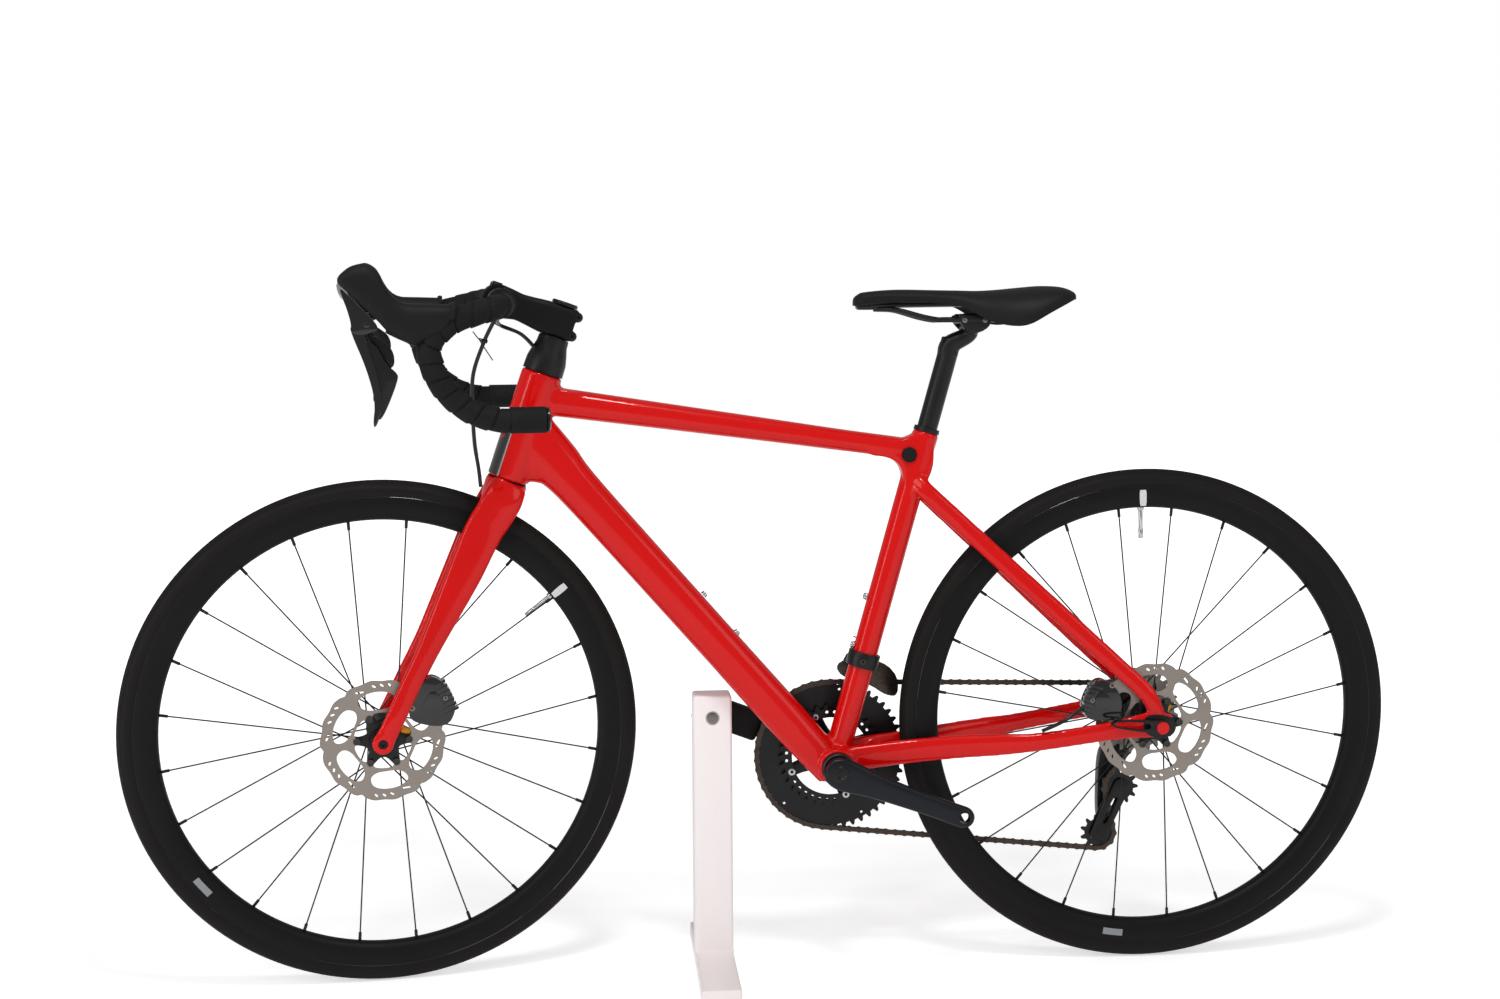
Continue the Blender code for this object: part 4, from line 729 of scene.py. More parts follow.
def build_controls():
    hood_rows = ((-.4737, .9300, .9240, .0090), (-.4700, .9352, .9195, .0145),
        (-.4600, .9430, .9095, .0165), (-.4500, .9462, .8990, .0172), (-.4400, .9468, .8880, .0174),
        (-.4280, .9390, .8750, .0176), (-.4200, .9240, .8665, .0178), (-.4130, .9125, .8625, .0178),
        (-.4050, .9050, .8585, .0180), (-.3960, .9012, .8545, .0182), (-.3870, .9004, .8500, .0184),
        (-.3700, .9000, .8570, .0186), (-.3540, .8995, .8650, .0184), (-.3430, .8992, .8800, .0178),
        (-.3395, .8988, .8840, .0174))
    for side, name in ((-1, "left"), (1, "right")):
        y = side * BAR_HALF
        hood = loft("hood_" + name, [(x, y, (t + b) / 2, (t - b) / 2, w) for x, t, b, w in hood_rows],
                    40, 2.7, 5, (-1, 0, 0))
        lip = loft("hood_lip", [(-.3450, y, .8885, .0125, .0182), (-.3425, y, .8895, .0128, .0190),
                                (-.3392, y, .8905, .0112, .0184)], 40, 2.6, 4, (-1, 0, 0))
        well = block("well", (-.4455, y, .8930), (.072, .0236, .024), .003, math.radians(46.3))
        hood = bore(hood, well)
        finished(join("hood_" + name, hood, lip), "fork", "rubber", "hood_" + name, smooth=50)
        carrier = plate("lever_carrier_" + name, [rounded([(-.4722, .9200), (-.4665, .9020),
            (-.4640, .8960), (-.4590, .8770), (-.4600, .8660), (-.4470, .8640), (-.4330, .8680),
            (-.4270, .8720), (-.4380, .8860), (-.4520, .9000), (-.4640, .9130)], 2)], y, .0200, .0050, 4)
        pivot = rod("lever_pivot", (-.4415, y - .0112, .8760), (-.4415, y + .0112, .8760), .0034, 24, .0006)
        finished(join("lever_carrier_" + name, carrier, pivot), "lever_carrier_" + name, "gloss",
                 "lever_carrier_" + name, smooth=50)
        badge = plate("lever_cap_" + name, [rounded([(-.4762, .9255), (-.4722, .9085), (-.4650, .9030),
            (-.4600, .9100), (-.4670, .9230)], 2)], y, .0180, .0030, 3)
        finished(badge, "lever_carrier_" + name, "silver", smooth=50)
        blade = plate("brake_blade_" + name, [rounded([
            (-.4600, .8755), (-.4602, .8680), (-.4430, .8250), (-.4335, .7860), (-.4375, .7560),
            (-.4325, .7570), (-.4250, .7820), (-.4300, .8150), (-.4400, .8450), (-.4465, .8755)], 2)],
                      y, .0130, .0042, 4)
        finished(blade, "brake_blade_" + name, "gloss", "brake_blade_" + name, smooth=50)
        wing = plate("shift_wing_" + name, [rounded([(-.4480, .8560), (-.4370, .8150), (-.4330, .7700),
            (-.4290, .7620), (-.4190, .7800), (-.4065, .8120), (-.4075, .8190), (-.4200, .8290),
            (-.4330, .8560)], 2)], y + side * .0020, .0050, .0016, 3)
        finished(wing, "brake_blade_" + name, "hose", smooth=50)
        inboard = y - side * .010
        upper = plate("shift_paddle_" + name, [rounded([(-.4430, .8660), (-.4270, .8590), (-.4110, .8460),
                                                        (-.4100, .8250), (-.4210, .8250)], 3)],
                      inboard, .0030, .0009, 3)
        finished(upper, "shift_paddle_" + name, "hose", "shift_paddle_" + name, smooth=50)


# ---------------------------------------------------------------- wheels
def rotor(name, centre, y):
    """Braking ring on six slanted arms, riveted to a black star."""
    edge = []
    for k in range(240):
        a = 1.5 * k
        dip = math.exp(-(((a % 60) - 8) / 2.6) ** 2)
        edge.append(polar((0, 0), .0792 + .0008 * math.cos(math.radians(18 * a)) - .0024 * dip, a))
    lobes = [polar((0, 0), .0372 - .0080 * max(0, math.cos(math.radians(6 * k * 3))) ** 3, 3 * k)
             for k in range(120)]
    loops = [edge, lobes]
    for k in range(6):
        a = 60 * k
        loops.append(rounded([polar((0, 0), .0635, a + 17), polar((0, 0), .0655, a + 32),
            polar((0, 0), .0655, a + 48), polar((0, 0), .0620, a + 62), polar((0, 0), .0500, a + 62),
            polar((0, 0), .0425, a + 52), polar((0, 0), .0410, a + 36), polar((0, 0), .0430, a + 18),
            polar((0, 0), .0520, a + 10)], 2))
        for step, radius, slant, length in ((22, .0735, 50, 1.0), (30, .0728, 50, 1.0),
                (38, .0722, 50, 1.0), (54, .0702, 72, 2.1)):
            x, z = polar((0, 0), radius, a + step)
            slot = [(-.0022 * length, -.0013), (.0018 * length, -.0013), (.0028 * length, 0),
                    (.0018 * length, .0013), (-.0022 * length, .0013), (-.0030 * length, 0)]
            loops.append([(x + dx, z + dz) for dx, dz in spun(slot, a + step + slant)])
    disc = plate(name, loops, 0, .0018, .0)
    place(disc, Matrix.Translation(centre + ACROSS * y))
    outline = []
    for k in range(6):
        a = 60 * k
        outline += [polar((0, 0), .0365, a - 7), polar((0, 0), .0375, a), polar((0, 0), .0365, a + 7),
            polar((0, 0), .0235, a + 19), polar((0, 0), .0225, a + 30), polar((0, 0), .0235, a + 41)]
    star = plate("rotor_star", [rounded(outline, 1), ring((0, 0), .0110, 40)], 0, .0024, .0005)
    place(star, Matrix.Translation(centre + ACROSS * (y + .0023)))
    screws = []
    for k in range(6):
        x, z = polar((0, 0), ROTOR_BOLT_CIRCLE, 60 * k)
        screws.append(turned("rotor_rivet", [(0, .0002), (.0022, .0002), (.0024, .0010), (.0046, .0010),
                                             (.0046, 0), (.0040, -.0010), (0, -.0010)],
                             centre + Vector((x, y - .0018, z)), 24, -ACROSS))
    return disc, star, screws


def wheel(prefix, axle, flanges, ends, rotor_y, valve, sticker):
    body = prefix + "_wheel"
    outline = [(.3120, -.0106), (.3150, -.0124), (.3190, -.0132), (.3230, -.0130), (.3270, -.0117),
               (.3302, -.0093), (.3326, -.0060), (.3340, -.0022)]
    casing = outline + [(r, -y) for r, y in reversed(outline)] + [(.3105, .0088), (.3105, -.0088)]
    finished(turned(prefix + "_tyre", casing, axle, 168), body, "tyre", prefix + "_tyre", smooth=50)
    outer = [(.3290, -.0106), (.3312, -.0084), (.3332, -.0056), (.3346, -.0025), (.3350, 0)]
    inner = [(r - .0010, y * .96) for r, y in outer]
    half = outer + [(r, -y) for r, y in reversed(outer[:-1])]
    back = inner + [(r, -y) for r, y in reversed(inner[:-1])]
    finished(turned(prefix + "_tread", half + list(reversed(back)), axle, 168), body, "tread", smooth=50)
    line = [turned("bead_line", [(.3126, .0110), (.3140, .0122), (.3136, .0125), (.3122, .0113)], axle, 168,
                   ACROSS * side) for side in (-1, 1)]
    finished(join(prefix + "_bead_lines", *line), body, "hose")
    rim = [(.2830, .0028), (.2838, .0052), (.2858, .0084), (.2895, .0110), (.2950, .0126), (.3010, .0133),
           (.3070, .0131), (.3120, .0121), (.3138, .0115), (.3138, .0098), (.3108, .0091), (.3095, .0060)]
    rim += [(r, -y) for r, y in reversed(rim)]
    finished(turned(prefix + "_rim", rim, axle, 168), body, "powder", prefix + "_rim", smooth=40)

    for side, flange, name in ((-1, flanges[0], "left"), (1, flanges[1], "right")):
        strands, nipples = [], []
        for k in range(SPOKES_A_SIDE):
            at_rim = 360 / SPOKES_A_SIDE * (k + .25 + (.5 if side > 0 else 0))
            sense = 1 if k % 2 else -1
            hub_point = Vector((*polar((0, 0), SPOKE_CIRCLE_HUB, at_rim + sense * 62), 0)).xzy
            hub_point.y = flange + (sense * .0016)
            rim_point = Vector((*polar((0, 0), SPOKE_CIRCLE_RIM, at_rim), 0)).xzy
            rim_point.y = side * .0016
            way = rim_point - hub_point
            strands.append(Matrix.Translation(axle + hub_point) @ aim(way)
                @ Matrix.Diagonal((1, 1, way.length, 1)))
            nipples.append(Matrix.Translation(axle + rim_point - way.normalized() * .0125) @ aim(way))
        strand = copies("strands", rod("strand", (0, 0, 0), (0, 0, 1), .00100, 8), strands)
        nipple = copies("nipples", rod("nipple", (0, 0, 0), (0, 0, .0135), .0021, 8, .0004), nipples)
        finished(join(prefix + "_spokes_" + name, strand, nipple), body, "satin_black",
                 prefix + "_spokes_" + name)
    left, right = flanges
    shell = turned("hub", [(.0064, ends[0]), (.0100, ends[0]), (.0104, ends[0] + .003),
        (.0104, left - .008), (.0150, left - .005), (.0215, left - .0020), (.0220, left),
        (.0210, left + .0022), (.0135, left + .007), (.0110, left + .014), (.0110, right - .014),
        (.0135, right - .007), (.0210, right - .0022), (.0220, right), (.0212, right + .0020),
        (.0150, right + .005), (.0104, min(right + .008, ends[1] - .004)), (.0100, ends[1]),
        (.0064, ends[1])], axle, 72)
    carrier = turned("rotor_carrier", [(.0105, rotor_y - .0020), (.0165, rotor_y - .0020),
        (.0175, rotor_y + .0010), (.0175, rotor_y + .0050), (.0105, rotor_y + .0060)], axle, 72)
    disc, star, screws = rotor(prefix + "_rotor", axle, rotor_y)
    finished(join(prefix + "_hub", shell, carrier, star), body, "satin_black", prefix + "_hub")
    finished(disc, body, "rotor", prefix + "_rotor", smooth=20)
    finished(join(prefix + "_rotor_rivets", *screws), body, "fastener")
    x, z = polar((0, 0), 1.0, valve)
    inwards = Vector((-x, 0, -z))
    foot = axle - inwards * .2840
    stem = [rod("valve_nut", foot, foot + inwards * .0045, .0046, 12, .0006),
            rod("valve_tube", foot, foot + inwards * .030, .0029, 20, .0004),
            rod("valve_cap", foot + inwards * .029, foot + inwards * .043, .0032, 20, .0012)]
    finished(join(prefix + "_valve", *stem), body, "silver")
    tag = plate(prefix + "_valve_label", [rounded(arc((0, 0), .3075, valve - .9, valve + .9, 3)
                                                  + arc((0, 0), .2860, valve + .9, valve - .9, 3), 1)],
                0, .0004)
    finished(place(tag, Matrix.Translation(axle - ACROSS * .0134)), body, "label")
    grey = plate(prefix + "_rim_label", [arc((0, 0), .3055, sticker - 2.6, sticker + 2.6, 6)
                                         + arc((0, 0), .2965, sticker + 2.6, sticker - 2.6, 6)], 0, .0004)
    finished(place(grey, Matrix.Translation(axle - ACROSS * .0134)), body, "grey_label")


# ---------------------------------------------------------------- drivetrain
def pitch_radius(teeth):
    """Radius on which the chain's pins lie."""
    return LINK_PITCH / (2 * math.sin(math.pi / teeth))


def gear(name, centre, teeth, y, thickness, holes, step=0.0):
    """Toothed ring with its openings drawn round its own centre."""
    reach, edge = pitch_radius(teeth), []
    turn = 360 / teeth
    for k in range(teeth):
        a = turn * k + step
        edge += [polar((0, 0), reach - .0036, a - turn * .44), polar((0, 0), reach - .0041, a - turn * .30),
                 polar((0, 0), reach + .0022, a - turn * .12), polar((0, 0), reach + .0026, a + turn * .04),
                 polar((0, 0), reach + .0012, a + turn * .16), polar((0, 0), reach - .0036, a + turn * .34)]
    piece = plate(name, [edge] + holes, 0, thickness)
    return place(piece, Matrix.Translation(centre + ACROSS * (y - centre.y)))


def belt(pulleys):
    """Dense closed path round pulleys (x, z, radius, sense)."""
    touches = []
    for (ax, az, ar, sa), (bx, bz, br, sb) in zip(pulleys, pulleys[1:] + pulleys[:1]):
        run = math.hypot(bx - ax, bz - az)
        heading = math.atan2(bz - az, bx - ax) - math.asin((sb * br - sa * ar) / run)
        nx, nz = -math.sin(heading), math.cos(heading)
        touches.append(((ax - sa * ar * nx, az - sa * ar * nz), (bx - sb * br * nx, bz - sb * br * nz)))
    path = []
    for i, (x, z, radius, sense) in enumerate(pulleys):
        arrive, leave = touches[i - 1][1], touches[i][0]
        start = math.degrees(math.atan2(arrive[1] - z, arrive[0] - x))
        end = math.degrees(math.atan2(leave[1] - z, leave[0] - x))
        sweep = ((end - start) * sense) % 360
        path += arc((x, z), radius, start, start + sense * sweep, max(int(sweep / 3), 2))
    return path


def build_chain():
    path = belt([(at.x, at.z, pitch_radius(teeth), sense) for at, teeth, sense in (
        (REAR_AXLE, CHAIN_COG_TEETH, 1), (BB, OUTER_TEETH, 1),
        (TENSION_PULLEY, PULLEY_TEETH, 1), (GUIDE_PULLEY, PULLEY_TEETH, -1))])
    rows = np.array(path + path[:1])
    lengths = np.concatenate([[0], np.cumsum(np.linalg.norm(np.diff(rows, axis=0), axis=1))])
    count = 2 * round(lengths[-1] / LINK_PITCH / 2)
    even = lengths[-1] * np.arange(count + 1) / count
    pins = [Vector((np.interp(s, lengths, rows[:, 0]), CHAIN_Y, np.interp(s, lengths, rows[:, 1])))
        for s in even]
    half = LINK_PITCH / 2
    waist = [(-half, .0040), (-half - .0030, .0028), (-half - .0040, 0), (-half - .0030, -.0028),
        (-half, -.0040), (-half + .0035, -.0030), (half - .0035, -.0030), (half, -.0040),
        (half + .0030, -.0028), (half + .0040, 0), (half + .0030, .0028), (half, .0040),
        (half - .0035, .0030), (-half + .0035, .0030)]
    outer, inner = [], []
    for i in range(count):
        middle, way = (pins[i] + pins[i + 1]) / 2, pins[i + 1] - pins[i]
        turn = Matrix.Translation(middle) @ Matrix.Rotation(-math.atan2(way.z, way.x), 4, 'Y')
        (outer if i % 2 else inner).append(turn)
    links = []
    for name, matrices, offset in (("outer_link", outer, .0027), ("inner_link", inner, .0018)):
        plates = [plate(name, [waist], side * offset, .0008) for side in (-1, 1)]
        rollers = [rod("roller", (x, -offset, 0), (x, offset, 0), .0026, 10) for x in (-half, half)]
        rivets = [rod("rivet", (x, -offset - .0008, 0), (x, offset + .0008, 0), .0014, 8)
                  for x in (-half, half)] if name == "outer_link" else []
        links.append(copies(name, join(name, *plates, *rollers, *rivets), matrices))
    finished(join("chain", *links), "frame", "chain_steel", "chain", smooth=40)


def build_cranks():
    looks = []
    for side, way, name in ((-1, CRANK_BACK, "left"), (1, -CRANK_BACK, "right")):
        rows = ((-.0200, .0090, .0045), (-.0150, .0160, .0060), (0, .0215, .0068), (.020, .0205, .0068),
                (.045, .0172, .0068), (.090, .0148, .0066), (.140, .0138, .0064), (.165, .0144, .0064),
                (.178, .0140, .0062), (.186, .0090, .0050), (.1890, .0030, .0030))
        arm = loft("arm", [(*(BB + way * s + ACROSS * (side * ARM_Y)), d, w) for s, d, w in rows],
                   40, 2.8, 5, way)
        boss = rod("boss", BB + ACROSS * (side * .0530), BB + ACROSS * (side * .0722), .0190, 48, .0012)
        arm = melt("crank_arm_" + name, [arm, boss], .0013, 4)
        eye = BB + way * CRANK_LENGTH
        arm = bore(arm, rod("eye", eye - ACROSS * .1, eye + ACROSS * .1, .0072, 48), solver='MANIFOLD')
        finished(arm, "cranks", "anthracite", "crank_arm_" + name, smooth=40)
        looks.append(turned("dust_cap_" + name, [(0, 0), (.0112, 0), (.0116, .0012), (.0100, .0030),
                                                 (.0060, .0034), (.0045, .0022), (0, .0022)],
                            BB + ACROSS * (side * .0720), 48, ACROSS * side))
        looks.append(turned("eye_bush_" + name, [(.0071, -.0062), (.0071, .0062), (.0086, .0064),
            (.0086, -.0064)], eye + ACROSS * (side * ARM_Y), 40))
    spindle = rod("spindle", BB - ACROSS * .0600, BB + ACROSS * .0600, .0117, 40, .0004)
    finished(join("crank_fittings", spindle, *looks), "cranks", "satin_black")

    pattern = [ring((0, 0), .0620, 64)] + [ring(polar((0, 0), .0915, 72 * k + 10), .0018, 10)
        for k in range(5)]
    outer = gear("chainring_outer", BB, OUTER_TEETH, CHAIN_Y, .0022, pattern)
    finished(outer, "cranks", "satin_black", "chainring_outer", smooth=20)
    inner = gear("chainring_inner", BB, INNER_TEETH, .0390, .0022,
        [ring((0, 0), .0535, 64)] + [ring(polar((0, 0), .0610, 10 * k + 5), .0022, 10) for k in range(36)
        if k % 9 not in (1, 2)])
    finished(inner, "cranks", "satin_black", "chainring_inner", smooth=20)
    arms = [turned("spider_hub", [(.0120, .0478), (.0240, .0478), (.0300, .0490), (.0300, .0520),
        (.0120, .0545)], BB, 64)]
    studs = []
    for k in range(4):
        x, z = polar((0, 0), 1.0, 90 * k + 21)
        way = Vector((x, 0, z))
        arms.append(loft("spider_arm", [(*(BB + way * s + ACROSS * y), d, w) for s, y, d, w in (
            (.018, .0510, .0150, .0030), (.040, .0505, .0100, .0028), (.058, .0490, .0085, .0026),
            (.068, .0490, .0060, .0020))], 24, 2.8, 4, way))
        studs.append(bolt("ring_bolt", BB + way * .0575 + ACROSS * .0368, ACROSS, .0050, .0052))
    finished(join("spider", *arms), "cranks", "anthracite")
    finished(join("ring_bolts", *studs), "cranks", "silver")
    boot = BB - CRANK_BACK * (CRANK_LENGTH + .021 - .047) + ACROSS * ARM_Y
    cover = block("crank_boot", boot, (.094, .0180, .042), .006, CRANK_ANGLE, 5)
    hole = BB - CRANK_BACK * CRANK_LENGTH
    cover = bore(cover, rod("hole", hole, hole + ACROSS * .062, .0072, 40))
    finished(cover, "cranks", "rubber", "crank_boot", smooth=40)


def build_cassette():
    teeth = (11, 12, 13, 14, 15, 17, 19, 21, 23, 25, 28)
    cogs = []
    for i, count in enumerate(teeth):
        reach = pitch_radius(count)
        holes = [ring((0, 0), .0172, 32)]
        if count > 16:
            holes += [ring(polar((0, 0), (.0172 + reach - .004) / 2 + .001, 45 * k + 6 * i),
                           (reach - .0240) * .30, 12) for k in range(8)]
        cogs.append(gear("cog", REAR_AXLE, count, CHAIN_Y + (5 - i) * COG_STEP, .0017, holes, 3.0 * i))
    body = turned("cog_carrier", [(.0115, .0262), (.0176, .0262), (.0176, .0660), (.0165, .0672),
        (.0115, .0672)], REAR_AXLE, 48)
    finished(join("cassette", *cogs, body), "cassette", "steel", "cassette", smooth=20)


def build_derailleurs():
    band = turned("front_band", [(.0176, -.0100), (.0212, -.0100), (.0216, -.0090), (.0216, .0090),
                                 (.0212, .0100), (.0176, .0100)], seat_axis(.4185), 64, SEAT_UP)
    arm = block("front_arm", (.2080, .0290, .4160), (.026, .024, .024), .004, .2, 4)
    link = block("front_link", (.1960, .0380, .4080), (.030, .010, .014), .003, .5, 4)
    tail = hose("cable_tail", [(.2050, .0300, .4280), (.2010, .0280, .4400), (.1930, .0250, .4460)],
                .0009, 6, 8)
    finished(join("front_derailleur_body", band, arm, link, tail), "frame", "satin_black")
    screw = bolt("clamp_bolt", (.1990, -.0245, .4190), ACROSS, .0040, .006)
    knob = bolt("limit_bolt", (.2070, .0280, .4320), (0, 0, -1), .0026, .006)
    shell = [plate("cage_plate", [rounded([(.1740, .3890), (.1740, .4080), (.2150, .4130), (.2540, .3960),
        (.2580, .3600), (.2400, .3600), (.2150, .3780)], 2)], y, .0012, .0003) for y in (.0405, .0525)]
    tie = block("cage_tie", (.2490, .0465, .3625), (.010, .0132, .0020), .0005)
    finished(join("front_derailleur_cage", *shell, tie, screw, knob), "frame", "chain_steel",
        "front_derailleur")

    knuckle = rod("hanger_knuckle", (.5930, .0797, .3120), (.5930, .0930, .3120), .0105, 40, .0015)
    links = [block("parallelogram", (.5770, .0860 + dy, .2700), (.0165 - dy, .0052, .092), .0022,
                   math.radians(16), 4) for dy in (-.0028, .0028)]
    lower = rod("lower_knuckle", (GUIDE_PULLEY.x, .0560, GUIDE_PULLEY.z),
        (GUIDE_PULLEY.x, .0905, GUIDE_PULLEY.z), .0120, 40, .0018)
    rib = block("body_rib", (.5900, .0862, .2920), (.010, .0100, .040), .0035, math.radians(16), 4)
    shell = plate("body_shell", [rounded([(.5450, .2650), (.5520, .2790), (.5700, .2930), (.5850, .3120),
        (.6010, .3060), (.5930, .2830), (.5740, .2640), (.5650, .2450), (.5625, .2100), (.5610, .1720),
        (.5500, .1650), (.5430, .1750), (.5430, .2300)], 2)], .0740, .0160, .0040, 4)
    shell = bore(shell, rod("relief", (.5530, .06, .2200), (.5530, .09, .2200), .0032, 20))
    screws = [bolt("b_bolt", (.5930, .0950, .3120), -ACROSS, .0050, .004),
              bolt("cage_bolt", (GUIDE_PULLEY.x, .0925, GUIDE_PULLEY.z), -ACROSS, .0045, .004)]
    loop = hose("rear_cable", [(.5700, .0800, .3350), (.6040, .0830, .3300), (.6180, .0860, .3040),
                               (.6080, .0870, .2760), (.5870, .0862, .2660)], .0021, 10, 12)
    finished(join("rear_derailleur", knuckle, *links, lower, rib, shell, *screws, loop), "frame",
        "satin_black", "rear_derailleur")
    gx, gz, tx, tz = GUIDE_PULLEY.x, GUIDE_PULLEY.z, TENSION_PULLEY.x, TENSION_PULLEY.z
    along = math.degrees(math.atan2(tz - gz, tx - gx))
    loop = (arc((tx, tz), .0118, along - 80, along + 80, 14)
            + arc((gx, gz), .0118, along + 100, along + 260, 14))
    middle = ((gx + tx) / 2, (gz + tz) / 2)
    slot = [(middle[0] + dx, middle[1] + dz) for dx, dz in spun(
        [(-.018, -.0035), (.018, -.0035), (.021, 0), (.018, .0035), (-.018, .0035), (-.021, 0)], along)]
    cage = [plate("pulley_cage", [loop, rounded(slot, 1)], y, .0016, .0004) for y in (.0408, .0522)]
    pins = [rod("pulley_pin", (p.x, .0396, p.z), (p.x, .0535, p.z), .0030, 20, .0005)
            for p in (GUIDE_PULLEY, TENSION_PULLEY)]
    finished(join("rear_derailleur_cage", *cage, *pins), "frame", "satin_black", "rear_derailleur_cage")
    for name, centre in (("guide_pulley", GUIDE_PULLEY), ("tension_pulley", TENSION_PULLEY)):
        holes = [ring((0, 0), .0042, 20)] + [ring(polar((0, 0), .0098, 72 * k), .0024, 12)
            for k in range(5)]
        finished(gear(name, centre, PULLEY_TEETH, CHAIN_Y, .0022, holes), name, "hose", name, smooth=20)


def caliper(name, centre, outline, fins, y, body, node):
    """Two-piston caliper round the rotor: bevelled halves, a cheek, a comb of cooling fins and screws."""
    halves = [plate("half", [rounded(about(centre, outline), 2)], y + dy, depth, .0020, 3)
              for dy, depth in ((-.0080, .0120), (.0042, .0048))]
    middle = [(x * .45 + .55 * sum(p[0] for p in outline) / len(outline),
               z * .45 + .55 * sum(p[1] for p in outline) / len(outline)) for x, z in outline]
    cheek = plate("cheek", [rounded(about(centre, middle), 2)], y - .0140, .0040, .0014, 3)
    (ax, az), (bx, bz) = fins
    slope = math.atan2(bz - az, bx - ax)
    comb = []
    for k in range(7):
        t = k / 6
        at = Vector((centre.x + ax + (bx - ax) * t, y - .0080, centre.z + az + (bz - az) * t))
        comb.append(block("fin", at, (.0024, .0130, .0190), .0005, -slope, 2))
    backing = bolt("caliper_bolt", Vector((centre.x + outline[0][0] * .9 + ax * .1, y - .0150,
        centre.z + outline[0][1])), ACROSS, .0040, .005)
    other = bolt("caliper_bolt", Vector((centre.x + (ax + bx) / 2, y - .0165, centre.z + (az + bz) / 2)),
        ACROSS, .0032, .005)
    finished(join(name, *halves, cheek, *comb), body, "gloss", node, smooth=40)
    finished(join(name + "_bolts", backing, other), body, "steel")


def build_brakes():
    caliper("front_caliper", FRONT_AXLE, [(.034, .044), (.044, .066), (.058, .084), (.071, .082),
        (.085, .068), (.0925, .051), (.0925, .035), (.083, .019), (.060, .019), (.034, .028)],
        ((.0720, .0740), (.0885, .0380)), FRONT_ROTOR_Y, "fork", "front_caliper")
    caliper("rear_caliper", REAR_AXLE, [(-.060, .054), (-.075, .063), (-.088, .056), (-.098, .038),
        (-.101, .020), (-.092, .007), (-.064, .008), (-.048, .014), (-.050, .040)],
        ((-.0830, .0520), (-.0950, .0180)), REAR_ROTOR_Y, "frame", "rear_caliper")
    for name, body, spot in (("front_pad_plate", "fork", FRONT_AXLE + Vector((.0300, -.0345, .0100))),
                             ("rear_pad_plate", "frame", REAR_AXLE + Vector((.0160, -.0500, .0200)))):
        finished(block(name, spot, (.0150, .0030, .0110), .0012, .5), body, "amber")
    line = hose("front_brake_hose", [(-.2860, -.1150, .8800), (-.2990, -.0900, .8500),
        (-.3120, -.0670, .8080), (-.3130, -.0550, .7650), (-.3110, -.0480, .7200), (-.3060, -.0400, .6850),
        (-.3035, -.0340, .6620)], .0025, 12, 14)
    finished(line, "fork", "hose", "front_brake_hose")
    leads = []
    clamp = on_steerer(STEM_HEIGHT, STEM_REACH)
    for lateral, far in ((-.010, -.085), (-.004, -.070), (.010, .080)):
        port = on_steerer(.172, .020, lateral)
        route = [port - STEER_FRONT * .006, port + STEER_FRONT * .022 + STEER_UP * .014,
                 clamp - STEER_UP * .0290 - STEER_FRONT * .010 + ACROSS * (far * .45),
                 clamp - STEER_UP * .0190 + ACROSS * far]
        leads.append(hose("lead", [tuple(point) for point in route], .0023, 10, 12))
    finished(join("bar_cables", *leads), "fork", "hose")
    strap = turned("hose_strap", [(.0030, -.0015), (.0040, -.0015), (.0040, .0015), (.0030, .0015)],
                   (-.2985, -.0905, .8510), 24, (-0.25, 0.4, -1))
    ends = [hose("strap_end", [(-.2985, -.0905, .8510), (-.3050, -.0940, .8530),
        (-.3130 + 6 * d, -.0960, .8630 - 9 * d)], .0007, 6, 6) for d in (0, .004)]
    finished(join("hose_strap", strap, *ends), "fork", "hose")
    rear = hose("rear_brake_hose", [(.4300, -.0700, .3300), (.4550, -.0740, .3420), (.4800, -.0690, .3560),
                                    (.4950, -.0600, .3660)], .0025, 10, 12)
    finished(rear, "frame", "hose")
    through_axle = rod("rear_axle", REAR_AXLE - ACROSS * .0825, REAR_AXLE + ACROSS * .0795,
                       .0059, 32, .0005)
    finished(through_axle, "frame", "satin_black", "rear_axle")
    rim = [(-.012, -.007), (.008, -.010), (.013, 0), (.008, .010), (-.010, .010), (-.062, .012),
           (-.071, .006), (-.062, .0005)]
    window = [(-.016, -.0035), (-.016, .0080), (-.060, .0098), (-.0665, .0060), (-.060, .0028)]
    lever = plate("rear_axle_lever", [rounded(about(REAR_AXLE, rim), 3),
        rounded(about(REAR_AXLE, window), 2)], -.0900, .0062, .0016, 3)
    cap = turned("axle_lever_cap", [(0, 0), (.0084, 0), (.0078, .0014), (0, .0018)],
        REAR_AXLE - ACROSS * .0930, 32, -ACROSS)
    finished(lever, "rear_axle_lever", "satin_black", "rear_axle_lever", smooth=40)
    finished(cap, "rear_axle_lever", "red")


